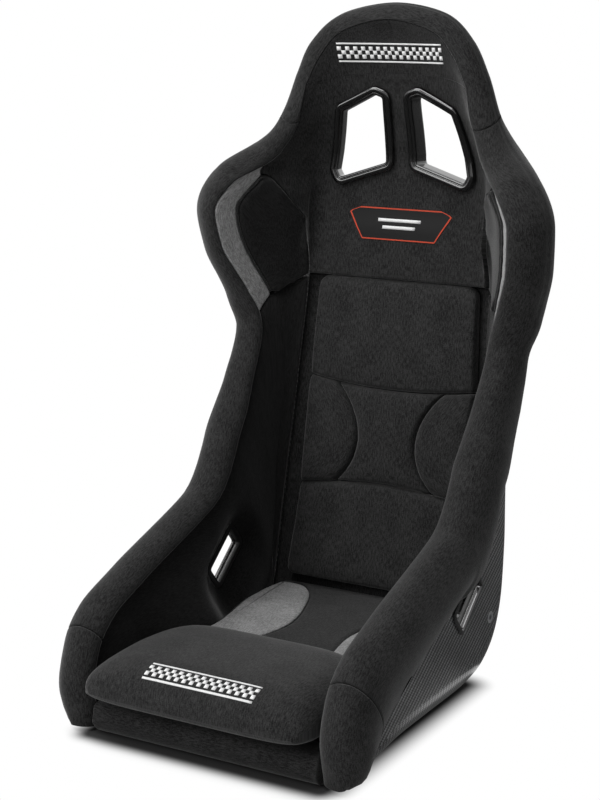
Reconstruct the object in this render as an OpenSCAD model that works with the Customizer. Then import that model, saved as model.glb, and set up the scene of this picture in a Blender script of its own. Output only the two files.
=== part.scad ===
// Fixed-back bucket seat: a carbon shell with a padded rim, fabric panels, belt slots,
// two cushions held by hook-and-loop tape, and side mounts for bolt-on brackets.
// +Z is up and -Y is forward. The origin is on the flat underside, on the centre plane,
// midway between the front and the rear side-mount bolts.

/* [Shell] */
// Width of the shell across its side-mount faces
shell_w = 400; // [380:1:420]
// Thickness of the shell wall
shell_t = 5; // [3:0.5:6]
// Width across the padded rim at the shoulders
shoulder_w = 492; // [470:1:520]
// Width across the padded rim at the waist
waist_w = 404; // [400:1:420]
// Width across the rim at the head, at its lower end
head_w = 272; // [250:1:290]
// Height of the rim over the front of the thighs
thigh_h = 164; // [150:1:180]
// Height of the rim at the top of the head
back_h = 910; // [890:1:930]
// Radius between the floor and the side walls
floor_r = 38; // [30:1:44]

/* [Rim] */
// Distance from the rim's crest to its seam, where the edge of the shell lies
seam_d = 22; // [18:1:28]
// Depth of the rim's padding on the inside of the shell
rim_in = 25; // [22:1:30]
// Depth of the rim's padding on the outside of the shell
rim_out = 34; // [28:1:42]

/* [Panels] */
// Thickness of the padded side panels
side_t = 22; // [16:1:25]
// Extra thickness of the side panels at their foot, beside the seat pad
foot_t = 34; // [20:1:38]
// Thickness of the padding behind the back cushion
back_t = 10; // [6:1:14]
// Thickness of the padding over the shoulder wings
wing_t = 24; // [18:1:28]
// Extra padding that fills the corner between each wing and the neck
corner_fill = 16; // [0:1:20]
// Thickness of the head pad
head_t = 46; // [38:1:50]
// Gap between neighbouring pieces
gap = 0.5; // [0.4:0.05:0.8]
// Width of the light stripe on each shoulder wing
stripe_w = 27; // [20:1:32]

/* [Cushions] */
// Height of the seat pad above the ground
seat_h = 100; // [85:1:110]
// Height of the thigh cushion above the ground
thigh_top = 120; // [112:1:130]
// Thickness of the back cushion
cushion_t = 20; // [16:1:30]
// Thickness of the hook-and-loop tape
tape_t = 1.5; // [1:0.25:2.5]
// Height of the front edge roll above the ground
apron_h = 38; // [32:1:44]

/* [Belts] */
// Length of each lap belt slot along its slant
lap_l = 72; // [60:1:80]
// Width of each lap belt slot
lap_w = 34; // [26:1:40]
// Slant of the lap belt slots
lap_a = 40; // [30:1:50]
// Height of the middle of the lap belt slots
lap_z = 143; // [135:1:150]
// Position of the lap belt slots behind the origin
lap_y = 68; // [60:1:75]
// Width of the crotch strap slot
crotch_w = 120; // [90:1:140]
// Length of the crotch strap slot from front to back
crotch_l = 26; // [18:1:34]
// Width of the trim around the shoulder harness openings
bezel_w = 11; // [8:0.5:13]

/* [Mounts] */
// Distance between the front and the rear side-mount bolts
mount_l = 290; // [280:1:300]
// Height of the side-mount bolts above the underside
mount_z = 96; // [85:1:105]
// Bore of a side-mount insert
mount_bore = 8; // [6:0.5:10]
// Outer diameter of a side-mount insert
mount_d = 17; // [14:0.5:20]

/* [Hidden] */
// Clearance between the shell and the lining of the padded rim.
lining_gap = 1.4;

wall_x = shell_w / 2 - shell_t;

// Stations from the front of the floor, up the back, to the top of the head.
// Each is: inner spine y and z, rim crest y and z, half-width at the spine, half-width at the
// rim, corner radius, roundness of the section, outer padding, width of that padding.
ROWS = [
    [-225, shell_t, -287, 6, wall_x, wall_x, 10, 0, rim_out - 8, 50],
    [-215, shell_t, -297, thigh_h - 98, wall_x, wall_x, 14, 0, rim_out - 4, 84],
    [-190, shell_t, -281, thigh_h - 42, wall_x, wall_x, 20, 0, rim_out - 3, 118],
    [-150, shell_t, -241, thigh_h, wall_x, wall_x, 28, 0, rim_out, 128],
    [-90, shell_t, -164, thigh_h + 33, wall_x, wall_x, floor_r - 2, 0, rim_out, 122],
    [55, shell_t, 14, thigh_h + 98, wall_x, wall_x, floor_r, 0, rim_out, 100],
    [118, 10, 38, thigh_h + 126, wall_x, wall_x, floor_r + 2, 0, rim_out, 108],
    [168, 34, 52, 314, wall_x, wall_x, floor_r + 6, 0, rim_out, 112],
    [196, 80, 66, 340, wall_x, wall_x, floor_r + 10, 0, rim_out, 112],
    [209, 150, 92, 376, wall_x - 2, wall_x + 2, 52, 0, rim_out - 2, 108],
    [219, 230, 114, 412, wall_x - 7, wall_x + 3, 56, 0, rim_out - 5, 104],
    [244, 410, 146, 476, wall_x - 21, waist_w / 2, 58, 0, rim_out - 3, 74],
    [256, 500, 138, 522, wall_x - 29, shoulder_w / 2 - 29, 60, 0, rim_out + 8, 92],
    [264, 580, 114, 586, wall_x - 35, shoulder_w / 2 - 5, 60, 0, rim_out + 12, 88],
    [270, 640, 104, 640, wall_x - 43, shoulder_w / 2, 60, 0, rim_out + 12, 84],
    [265, 695, 116, 686, wall_x - 57, shoulder_w / 2 - 21, 54, 0, rim_out + 8, 76],
    [257, 745, 155, 722, wall_x - 72, head_w / 2 + 48, 46, 0.1, rim_out - 2, 62],
    [247, 790, 182, 764, head_w / 2 - 30, head_w / 2 + 19, 42, 0.4, rim_out - 10, 50],
    [239, 835, 190, back_h - 90, head_w / 2 - 57, head_w / 2 - 6, 40, 0.8, rim_out - 8, 42],
    [236, 864, 193, back_h - 47, head_w / 2 - 78, head_w / 2 - 29, 36, 1, rim_out - 8, 38],
    [235, 883, 198, back_h - 13, head_w / 2 - 106, head_w / 2 - 62, 30, 1, rim_out - 9, 35],
    [235, 890, 201, back_h + 4, 0, 0, 20, 1, rim_out - 9, 34],
];
LAST = len(ROWS) - 1;
SUB = 2;

// Points across one half of a section: floor 0 to 1, corner 1 to 6, wall 6 to 8.
FLOOR = 1;
WALL = 6;
RIM = 8;

function lerp(a, b, t) = a + (b - a) * t;
function unit(p) = p / norm(p);
function flip(p) = [-p.x, p.y, p.z];

// A slope that never overshoots its neighbours.
function slope(a, b) = a * b <= 0 ? 0 : 2 * a * b / (a + b);
function row(i) = i > LAST ? [for (c = [0:9]) (c == 4 || c == 5 ? -1 : 1) * ROWS[2 * LAST - i][c]]
    : i < 0 ? 2 * ROWS[0] - ROWS[1] : ROWS[i];
function station(v) = let (i = min(floor(v), LAST - 1), t = v - i)
    [for (c = [0:9]) let (
        a = row(i)[c],
        b = row(i + 1)[c],
        m = slope(a - row(i - 1)[c], b - a),
        n = slope(b - a, row(i + 2)[c] - b)
    ) lerp(a, b, 3 * t ^ 2 - 2 * t ^ 3) + m * (t ^ 3 - 2 * t ^ 2 + t) + n * (t ^ 3 - t ^ 2)];

// Half-section of station s: a floor, a round corner and a straight wall, which become one
// round sweep as the section's roundness goes to 1.
function box_point(s, u) = let (
        h = norm([s[2] - s[0], s[3] - s[1]]),
        turn = atan2(h, s[5] - s[4]),
        r = max(0, min(s[6], 0.9 * s[4] / tan(turn / 2), 0.9 * h / tan(turn / 2))),
        cut = r * tan(turn / 2),
        end = [s[4] - cut + r * sin(turn), r * (1 - cos(turn))]
    )
    u <= FLOOR ? [u / FLOOR * (s[4] - cut), 0]
    : u <= WALL ? let (t = (u - FLOOR) / (WALL - FLOOR) * turn)
        [s[4] - cut + r * sin(t), r * (1 - cos(t))]
    : lerp(end, [s[5], h], (u - WALL) / (RIM - WALL));
function round_point(s, u) = let (h = norm([s[2] - s[0], s[3] - s[1]]), t = 90 * u / RIM)
    [s[5] * sin(t), h * (1 - cos(t))];
function place(s, u) = let (
        p = lerp(box_point(s, u), round_point(s, u), s[7]),
        n = unit([s[2] - s[0], s[3] - s[1]])
    ) [p.x, s[0] + p.y * n.x, s[1] + p.y * n.y];

// The inner face of the shell as one grid of points, with its normals into the seat.
STATIONS = [for (i = [0:LAST * SUB]) station(i / SUB)];
FACE = [for (s = STATIONS) [for (u = [0:RIM]) place(s, u)]];
TOP = LAST * SUB;
function face(i, j) = j < 0 ? flip(FACE[i][-j])
    : i > TOP ? flip(FACE[2 * TOP - i][j]) : FACE[max(i, 0)][min(j, RIM)];
function across(i, j) = i == TOP && j == 0 ? FACE[i][1] - FACE[i][0] : face(i, j + 1) - face(i, j - 1);
function onward(i, j) = i == TOP ? [-1, 0, 0] : face(i + 1, j) - face(i - 1, j);
NORMAL = [for (i = [0:TOP]) [for (j = [0:RIM]) unit(cross(across(i, j), onward(i, j)))]];
WIDTH = [for (i = [0:TOP]) let (w = FACE[i][RIM] - FACE[i][WALL])
    norm(cross(w, unit(onward(i, RIM))))];

function mesh(g, u, v) = let (i = min(floor(v * SUB), TOP - 1), j = min(floor(u), RIM - 1))
    lerp(lerp(g[i][j], g[i][j + 1], u - j), lerp(g[i + 1][j], g[i + 1][j + 1], u - j),
        v * SUB - i);
// Point at u across and v along, w above the inner face of the shell.
function at(u, v, w = 0) = mesh(FACE, u, v) + w * mesh(NORMAL, u, v);
// Value of column c at v, straight between the grid's own rings.
function col(c, v) = let (i = min(floor(v * SUB), TOP - 1))
    lerp(STATIONS[i][c], STATIONS[i + 1][c], v * SUB - i);
// Width of the wall at v, and the place across at a distance d below the crest of the rim.
function wall_w(v) = let (i = min(floor(v * SUB), TOP - 1)) lerp(WIDTH[i], WIDTH[i + 1], v * SUB - i);
function below(d, v) = RIM - (RIM - WALL) * d / wall_w(v);
// Distance from the crest to the hem of the padded rim: on the wall up to the shoulders, and
// free to run past it round the head.
function hem(v) = min(col(9, v), wall_w(v) * lookup(v, [[13, 0.98], [15, 3]]));
// Place across at a distance d from u, towards the rim.
function beside(u, v, d) = u + 0.2 * d / norm(at(u + 0.1, v) - at(u - 0.1, v));
// Values of v from a to b, with each of the grid's rings between them.
function along(a, b) = concat([a], [for (i = [ceil(a * SUB + 0.01):ceil(b * SUB - 0.01) - 1]) i / SUB],
    [b]);
// A soft edge: 0.6 of the height at the ends, full height between them.
function crown(t, edge = 0.6) = edge + (1 - edge) * (1 - abs(2 * t - 1) ^ 4);

// Solid between two sheets of points that have the same rows and columns.
module slab(top, bottom) {
    m = len(top);
    n = len(top[0]);
    k = m * n;
    edge = concat([for (j = [0:n - 1]) j], [for (i = [1:m - 1]) i * n + n - 1],
        [for (j = [n - 2:-1:0]) (m - 1) * n + j], [for (i = [m - 2:-1:1]) i * n]);
    polyhedron(
        concat([for (r = top) each r], [for (r = bottom) each r]),
        concat(
            [for (i = [0:m - 2], j = [0:n - 2]) each
                let (a = i * n + j) [[a, a + n + 1, a + 1], [a, a + n, a + n + 1]]],
            [for (i = [0:m - 2], j = [0:n - 2]) each
                let (a = k + i * n + j) [[a, a + 1, a + n + 1], [a, a + n + 1, a + n]]],
            [for (e = [0:len(edge) - 1]) each
                let (a = edge[e], b = edge[(e + 1) % len(edge)]) [[a, b, b + k], [a, b + k, a + k]]]
        ),
        convexity = 8
    );
}
// The same on the other side of the centre plane, or on both sides.
module on(side) {
    mirror([side < 0 ? 1 : 0, 0, 0]) children();
}
module both() {
    children();
    mirror([1, 0, 0]) children();
}

// Place across at a distance x from the centre plane.
function aside(x, v) = let (i = min(floor(v * SUB), TOP - 1), t = v * SUB - i)
    lookup(x, [for (j = [0:RIM]) [lerp(FACE[i][j].x, FACE[i + 1][j].x, t), j]]);
// Seam of the rim: its distance from the crest, and the depth of the padding inside it.
function seam(v) = lookup(v, [[9, seam_d], [12, seam_d - 6], [16, seam_d - 6], [18, 8]]);
function inner(v) = lookup(v, [[9, rim_in], [12, rim_in - 9], [16, rim_in - 9], [18, 12]]);
function edge_u(v) = below(seam(v) + 1.6 * gap, v);

// Padding over the face of the shell, from u0(v) to u1(v) on each ring of stations; more adds
// to its height at v and a fraction k across.
module pad(rings, u0, u1, t, low = gap, n = 6, edge = 0.6, half = false, more = function(v, k) 0) {
    slab(
        [for (v = rings) [for (j = [0:n]) at(lerp(u0(v), u1(v), j / n), v, more(v, j / n)
            + low + (t(v) - low) * crown(half ? (1 + j / n) / 2 : j / n, edge))]],
        [for (v = rings) [for (j = [0:n]) at(lerp(u0(v), u1(v), j / n), v, low)]]
    );
}

// Rim section at v: from the inner seam over the crest and down the outside to the hem.
function rim_skin(v) = let (
        t = shell_t + col(8, v), h = hem(v), c = 4, b = min(46, h * 0.5), s = seam(v)
    ) concat(
        [for (a = [0:45:90]) [s * (1 - sin(a)), -c + (inner(v) + c) * cos(a)]],
        [for (a = [67.5:-22.5:0]) [b * (1 - sin(a)), -c - (t - c) * cos(a)]],
        [for (k = [0.35, 0.7, 1]) [lerp(b, h, k), -t + (t - shell_t - 4) * (1 - cos(90 * k))]]
    );
function rim_lining(v) = let (h = hem(v), w = -shell_t - lining_gap, s = seam(v))
    concat(
        [for (k = [0.7, 0.3, 0]) [s - 4 * k * (1 - k), lerp(w, inner(v), k)]],
        [for (k = [1:7]) [lerp(s, h, k / 7), w]]
    );
module rim(v0, v1) {
    rings = along(v0, v1);
    slab(
        [for (v = rings) [for (p = rim_skin(v)) at(below(p[0], v), v, p[1])]],
        [for (v = rings) [for (p = rim_lining(v)) at(below(p[0], v), v, p[1])]]
    );
}

// Where the seams of the cover cross the seat, as stations.
BOLSTER_V = 2.4;
CUSHION_V = 8.3;
CUSHION_TOP_V = 12.45;
// The stripe runs between the first two of these, the wing pad beside it between the others.
STRIPE_V0 = 11.4;
STRIPE_V1 = 15.6;
WING_V0 = 12;
WING_V1 = 15;
HEAD_V = 18;
STEP = 0.02;
SEAM_U = 0.07;
// Seam between the back and the sides, in the corner of the section.
BACK_U = 3.5;

// Shoulder harness openings: corners of the right one, as x and z, and their rounding.
HARNESS = [[26, 801], [40, 806], [91, 780], [106, 693], [100, 681], [24, 706]];
harness_r = 5;
// A closed outline with n points round each corner of a polygon.
function rounded(c, r, n = 2) = [for (i = [0:len(c) - 1]) each
    let (
        p = c[i], a = unit(c[(i + len(c) - 1) % len(c)] - p), b = unit(c[(i + 1) % len(c)] - p),
        k = r / tan(acos(a * b) / 2), s = p + a * k, e = p + b * k
    ) [for (j = [0:n]) let (t = j / n) (1 - t) ^ 2 * s + 2 * t * (1 - t) * p + t ^ 2 * e]];
// The same outline moved outwards by d.
function grown(c, d) = [for (i = [0:len(c) - 1]) let (
        a = unit(c[i] - c[(i + len(c) - 1) % len(c)]),
        b = unit(c[(i + 1) % len(c)] - c[i]),
        n = unit([-a.y - b.y, a.x + b.x])
    ) c[i] + n * d / max(0.5, n * [-a.y, a.x])];
// The same outline with more points along its straight sides.
function dense(c, step = 24) = [for (i = [0:len(c) - 1]) each
    let (a = c[i], b = c[(i + 1) % len(c)], n = ceil(norm(b - a) / step))
    [for (k = [0:n - 1]) lerp(a, b, k / n)]];
// Depth y of the surface at height t(v) over the shell, where it passes through x and z.
function depth(x, z, t, u = 0.8, v = 16.5, k = 5) = let (
        p = at(u, v, t(v)), a = at(u + 0.2, v, t(v)), b = at(u, v + 0.1, t(v + 0.1))
    ) k == 0 ? p.y : depth(x, z, t, min(RIM - 0.3, max(0, u + 0.2 * (x - p.x) / (a.x - p.x))),
        min(LAST - 1, max(13, v + 0.1 * (z - p.z) / (b.z - p.z))), k - 1);
function neck_t(v) = lookup(v, [[13.5, 28], [15.5, 12]]);
// The openings run outwards to the rear at this angle, about this axis.
harness_a = 12;
harness_x = 62;
harness_y = 250;
// Point of a tunnel's line, s behind the axis.
function tunnel(q, s) = let (x = q.x - harness_x) [harness_x + x * cos(harness_a)
    + s * sin(harness_a), harness_y - x * sin(harness_a) + s * cos(harness_a), q.y];
function hit(q, t, s = 0, k = 3) = let (p = tunnel(q, s))
    k == 0 ? s : hit(q, t, s + depth(p.x, p.z, t) - p.y, k - 1);
module through_neck(d) {
    both() translate([harness_x, harness_y, 0]) rotate([90, 0, -harness_a])
        linear_extrude(120, center = true) translate([-harness_x, 0, 0])
        polygon(grown(rounded(HARNESS, harness_r), d));
}
// A closed ring: section points [outwards, forwards] swept round the outline.
module hoop(section, t) {
    path = dense(rounded(HARNESS, harness_r));
    rings = [for (p = section) [for (q = grown(path, p[0])) tunnel(q, hit(q, t) - p[1])]];
    m = len(rings);
    n = len(path);
    polyhedron(
        [for (r = rings) each r],
        [for (i = [0:m - 1], j = [0:n - 1]) each let (
                a = i * n + j, b = i * n + (j + 1) % n,
                c = ((i + 1) % m) * n + j, d = ((i + 1) % m) * n + (j + 1) % n
            ) [[a, b, d], [a, d, c]]],
        convexity = 8
    );
}

// Lap belt slot: its outline grown by d, from x0 to x1 on the right side.
module lap_prism(d, x0, x1) {
    translate([x0, lap_y, lap_z]) rotate([90, 0, 90]) linear_extrude(x1 - x0) rotate(lap_a)
        offset(r = 4 + d, $fn = 16) square([lap_l - 8, lap_w - 8], center = true);
}
lap_wall = 2.5;
lap_flange = 8;

crotch_y = -128;
module crotch_prism(d, z0, z1) {
    translate([0, crotch_y, z0]) linear_extrude(z1 - z0)
        offset(r = crotch_l / 2 + d, $fn = 24) square([crotch_w - crotch_l, 0.01], center = true);
}
crotch_wall = 3;

// Bore or sleeve of a side mount: y is front or rear, on the right side.
module mount_rod(y, d, x0, x1, n = 48) {
    translate([x0, y, mount_z]) rotate([0, 90, 0]) cylinder(d = d, h = x1 - x0, $fn = n);
}
// Room round a side mount through the padded rim.
module mount_room(y) {
    translate([wall_x, y, mount_z]) rotate([90, 0, 90]) linear_extrude(90)
        offset(r = mount_d / 2 + 7, $fn = 24) square(0.01, center = true);
}
mount_depth = 14;
module mount_cuts(d, x0, x1) {
    for (y = [-mount_l / 2, mount_l / 2], k = [-1, 1]) on(k) mount_rod(y, d, x0, x1, 24);
}

module shell() {
    color("#1b1c1e") difference() {
        both() slab(
            [for (v = along(0, LAST)) [for (j = [0:RIM]) at(shell_u(j, v), v, 0)]],
            [for (v = along(0, LAST)) [for (j = [0:RIM]) at(shell_u(j, v), v, -shell_t)]]
        );
        through_neck(lap_wall + gap);
        both() lap_prism(lap_wall + gap, wall_x - 9, wall_x + shell_t + 9);
        crotch_prism(crotch_wall + gap, -9, shell_t + 9);
        mount_cuts(mount_d + gap, wall_x - 20, wall_x + shell_t + 20);
    }
}
function shell_u(j, v) = j <= WALL ? j : lerp(WALL, edge_u(v), (j - WALL) / (RIM - WALL));

module mount_insert(y, side) {
    color("#b9bcc0") on(side) difference() {
        mount_rod(y, mount_d, shell_w / 2 - mount_depth, shell_w / 2);
        mount_rod(y, mount_bore, shell_w / 2 - mount_depth - 1, shell_w / 2 + 1);
    }
}
module mount_insert_front_left() { mount_insert(-mount_l / 2, -1); }
module mount_insert_front_right() { mount_insert(-mount_l / 2, 1); }
module mount_insert_rear_left() { mount_insert(mount_l / 2, -1); }
module mount_insert_rear_right() { mount_insert(mount_l / 2, 1); }

module front_bolster(side) {
    color("#232427") on(side) difference() {
        rim(0, BOLSTER_V - STEP);
        mount_room(-mount_l / 2);
    }
}
module front_bolster_left() { front_bolster(-1); }
module front_bolster_right() { front_bolster(1); }

module side_band(side) {
    color("#2a2b2e") on(side) difference() {
        rim(BOLSTER_V, HEAD_V - 1);
        mount_room(-mount_l / 2);
        lap_prism(lap_flange + 2 * gap, wall_x, wall_x + 90);
    }
}
module side_band_left() { side_band(-1); }
module side_band_right() { side_band(1); }

module head_band() {
    color("#2a2b2e") both() rim(HEAD_V - 1 + STEP, LAST);
}

// Lower edge of a side panel: at the top of the floor's corner, then in the back's corner.
function side_low(v) = lerp(5.9, BACK_U + SEAM_U, min(1, max(0, (v - 5) / 2)));
// Beside the seat pad the panel thickens towards its foot.
function foot(v) = foot_t * lookup(v, [[3.5, 0], [4.5, 1], [7, 1], [8.5, 0]]);
// Seam under the wing, from the rim at the waist to the corner of the back cushion.
function under_wing(v) = lookup(v, [[11.8, 6.92], [12, 6.68], [12.25, 6.05], [12.45, BACK_U]]);
// The side panel ends at the rim's seam, then at the stripe, then at that seam.
function side_top(v) = v < STRIPE_V0 ? edge_u(v)
    : v < 11.85 ? below(seam(v) + 6 * gap + stripe(v), v)
    : beside(under_wing(v + 0.04), v, -1.5);
module side_panel(side) {
    rings = concat(along(0, STRIPE_V0 - STEP), [STRIPE_V0, 11.5, 11.65, 11.8, 12, 12.25, 12.36]);
    swell = [1, 1, 1, 0.55, 0.22, 0.05, 0];
    color("#202124") on(side) difference() {
        slab(
            [for (v = rings) [for (j = [0:6]) at(lerp(side_low(v), side_top(v), j / 6), v,
                side_t * crown((6 + j) / 12) + foot(v) * swell[j])]],
            [for (v = rings) [for (j = [0:6]) at(lerp(side_low(v), side_top(v), j / 6), v, gap)]]
        );
        lap_prism(lap_wall + gap, wall_x - 60, wall_x + 9);
        lap_prism(lap_flange + 2, wall_x - 90, wall_x - side_t);
        mount_rod(-mount_l / 2, mount_d + 2 * gap, wall_x - mount_depth, wall_x + 9, 24);
        mount_rod(mount_l / 2, mount_d + 2 * gap, wall_x - mount_depth, wall_x + 9, 24);
    }
}
module side_panel_left() { side_panel(-1); }
module side_panel_right() { side_panel(1); }

// The stripe follows the seam of the rim and narrows to a point at both ends.
function stripe(v) = v < STRIPE_V0 || v > STRIPE_V1 ? 0
    : stripe_w * max(0.08, min(1, 2.5 * (v - STRIPE_V0), 2.1 * (STRIPE_V1 - v)));
module wing_stripe(side) {
    color("#5d5f62") on(side) pad(
        concat([STRIPE_V0, 11.5, 11.65, 11.8], along(12, WING_V1), [15.5, STRIPE_V1]),
        function(v) below(seam(v) + gap + stripe(v), v), function(v) edge_u(v),
        function(v) wing_t, n = 4, edge = 0.8
    );
}
module wing_stripe_left() { wing_stripe(-1); }
module wing_stripe_right() { wing_stripe(1); }

// Seam between the wing and the neck: up the back's corner and out to the top of the stripe.
function shoulder(v) = lookup(v, [[12.45, BACK_U], [13, BACK_U + 0.1], [13.5, 5.1], [14, 6.1],
    [14.5, 6.45], [15, 7]]);
// Rings on both sides of it, closer together where it crosses the corner.
WING_RINGS = concat([12.5, 13, 13.25, 13.5, 13.75], along(14, WING_V1));
// Near that seam the padding fills the corner.
function fill(v) = corner_fill * lookup(v, [[12.6, 0], [13.2, 1], [14.6, 1], [15.1, 0]]);
module wing_pad(side) {
    color("#1d1e20") on(side) pad(
        concat([WING_V0, 12.25, 12.45], WING_RINGS),
        function(v) beside(v < 12.45 ? under_wing(v) : shoulder(v), v, v < 12.6 ? 2 : 4),
        function(v) below(seam(v) + 3.5 * gap + stripe(v), v), function(v) wing_t,
        edge = 0.8, more = function(v, k) fill(v) * (1 - k) ^ 2.5
    );
}
module wing_pad_left() { wing_pad(-1); }
module wing_pad_right() { wing_pad(1); }

module back_panel() {
    color("#1a1b1d") both() pad(along(7.5, CUSHION_TOP_V), function(v) 0, function(v) BACK_U,
        function(v) back_t, n = 5, half = true);
}

module neck_panel() {
    color("#242528") difference() {
        both() pad(
            concat([CUSHION_TOP_V + STEP], WING_RINGS, [15.5, STRIPE_V1],
                along(STRIPE_V1 + STEP, HEAD_V - 0.1)),
            function(v) 0, function(v) v > STRIPE_V1 ? edge_u(v) : v > WING_V1
                ? below(seam(v) + 3 * gap + stripe(v), v) : shoulder(v),
            function(v) neck_t(v), edge = 0.85, half = true,
            more = function(v, k) fill(v) * k ^ 6
        );
        through_neck(lap_wall + gap);
    }
}

// Front face of the head pad at station v and fraction s across.
function head_face(v, s) = let (
        k = (v - HEAD_V) / (LAST - HEAD_V),
        a = [0, col(0, HEAD_V) - head_t - 12 * sin(180 * k) + 8 * k, lerp(back_h - 90, back_h - 26, k)],
        b = at(edge_u(v), v, inner(v) + 2)
    ) [b.x * s, lerp(a.y, b.y, s ^ 2.5), lerp(a.z, b.z, s)];
module head_pad() {
    rings = along(HEAD_V, LAST);
    color("#26272a") both() slab(
        [for (v = rings) [for (j = [0:6]) head_face(v, j / 6)]],
        [for (v = rings) [for (j = [0:6]) at(edge_u(v) * j / 6, v, gap)]]
    );
}

// The seat pad fills the tub between the side panels, up to seat_h.
tub_x = wall_x - side_t - gap;
seat_x = tub_x - foot_t;
SEAT_V0 = 4.24;
SEAT_V1 = 7 - STEP;
function seat_side(v) = tub_x - foot(v);
function seat_y(v) = col(0, v) + lerp((seat_h - shell_t) * (col(2, v) - col(0, v))
    / (col(3, v) - col(1, v)), -5, min(1, max(0, (v - 5) / 2)));
module seat_block() {
    rings = along(SEAT_V0, SEAT_V1);
    slab(
        [for (v = rings) [for (s = [0, 0.4, 0.78, 0.93, 1])
            [seat_side(v) * s, seat_y(v), seat_h - 9 * s ^ 12]]],
        [for (v = rings) [for (s = [0, 0.3, 0.6, 0.8, 1])
            at(aside(min(seat_side(v), seat_side(v) * 0.9 + 10) * s, v), v, gap)]]
    );
}
module seat_leaf(d, z0, z1) {
    translate([0, 0, z0]) linear_extrude(z1 - z0) offset(r = 14 + d, $fn = 24)
        polygon([[-118, 122], [-108, 126], [-60, 76], [-40, 20], [-34, -70], [-90, -70], [-112, 20]]);
}
inlay_t = 4;
module seat_pad() {
    color("#2c2d30") difference() {
        both() seat_block();
        both() seat_leaf(gap, seat_h - inlay_t - gap, seat_h + 9);
    }
}
module seat_insert(side) {
    color("#6a6c6f") on(-side) seat_leaf(0, seat_h - inlay_t, seat_h + 0.5);
}
module seat_insert_left() { seat_insert(-1); }
module seat_insert_right() { seat_insert(1); }

// Firm pad under the thigh cushion, from the front edge roll to the seat pad.
front_pad_h = 48;
front_pad_y = -238;
module front_block(x, y0, y1) {
    translate([0, y1, 0]) rotate([90, 0, 0]) linear_extrude(y1 - y0) polygon([
        [12 - x, shell_t + gap], [x - 12, shell_t + gap], [x, 17],
        [x, front_pad_h], [-x, front_pad_h], [-x, 17]
    ]);
}
module front_pad() {
    color("#18191b") difference() {
        union() {
            front_block(tub_x - 1, front_pad_y, -150);
            front_block(seat_x - 1, front_pad_y, -88);
        }
        crotch_prism(crotch_wall + gap, 0, front_pad_h + 9);
    }
}

// Padded roll over the front edge of the floor.
apron_x = wall_x - rim_in - 3;
module front_apron() {
    color("#242528") translate([-apron_x, 0, 0]) rotate([90, 0, 90]) linear_extrude(2 * apron_x)
        polygon(concat(
            [[front_pad_y - gap, shell_t + gap], [front_pad_y - gap, apron_h - 3]],
            [for (a = [0:22.5:180]) [-258 - 17 * sin(a / 2), apron_h / 2 + (apron_h / 2 - 1) * cos(a)]],
            [[-226, 1], [-226, shell_t + gap]]
        ));
}

// Trims of the shoulder harness openings: a sleeve with a rounded flange in front, a ring behind.
module harness_bezel(side) {
    color("#101113") on(side) hoop([[-lap_wall, -18], [-gap / 2, -18], [-gap / 2, 1.6 * gap],
        [bezel_w - lap_wall, 1.6 * gap], [bezel_w - lap_wall, 4], [bezel_w - 5, 8], [1, 8],
        [-lap_wall, 5]], function(v) neck_t(v));
}
module harness_bezel_left() { harness_bezel(-1); }
module harness_bezel_right() { harness_bezel(1); }
module harness_ring(side) {
    color("#101113") on(side) hoop([[gap, -3 - 2 * gap], [bezel_w - 2, -3 - 2 * gap], [bezel_w - 2, -2 * gap],
        [gap, -2 * gap]], function(v) -shell_t);
}
module harness_ring_left() { harness_ring(-1); }
module harness_ring_right() { harness_ring(1); }

// Trims of the lap belt slots: one in the side panel, one on the outside of the shell.
module lap_trim(side) {
    x0 = wall_x - side_t - gap;
    color("#121315") on(side) difference() {
        union() {
            lap_prism(lap_flange, x0 - 3.5, x0 - gap);
            lap_prism(lap_wall, x0 - 1, wall_x);
        }
        lap_prism(0, x0 - 9, wall_x + 9);
    }
}
module lap_trim_left() { lap_trim(-1); }
module lap_trim_right() { lap_trim(1); }
module lap_bezel(side) {
    x1 = shell_w / 2 + gap;
    color("#121315") on(side) difference() {
        union() {
            lap_prism(lap_flange, x1, x1 + 3.5);
            lap_prism(lap_wall, wall_x + gap, x1 + 1);
        }
        lap_prism(0, wall_x - 9, x1 + 9);
    }
}
module lap_bezel_left() { lap_bezel(-1); }
module lap_bezel_right() { lap_bezel(1); }

// Grommet of the crotch strap slot, through the floor and the front pad.
module crotch_grommet() {
    color("#121315") difference() {
        crotch_prism(crotch_wall, 0.5, front_pad_h);
        crotch_prism(0, -9, front_pad_h + 9);
    }
}

// Hook-and-loop tape that holds the two loose cushions.
back_low = back_t + 2 * gap + tape_t;
module hook_tape_back() {
    color("#0d0e0f") both() pad(along(9, 11.5), function(v) 0, function(v) aside(70, v),
        function(v) back_t + gap + tape_t, low = back_t + gap, n = 2, edge = 1, half = true);
}
module hook_tape_thigh() {
    color("#0d0e0f") translate([-90, -220, front_pad_h + gap]) cube([180, 60, tape_t]);
}

// Back cushion: half-width at v, and its two seams as stations across it.
function cushion_x(v) = lerp(148, 123, (v - CUSHION_V) / (CUSHION_TOP_V - CUSHION_V));
function seam_high(s) = 10.86 - 0.06 * (1 - s ^ 2);
function seam_low(s) = 10 + 0.1 * (1 - s ^ 2);
function cushion_h(v) = back_low + cushion_t + 10 * max(0, 1 - (v - CUSHION_V) / 1.2);
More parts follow.
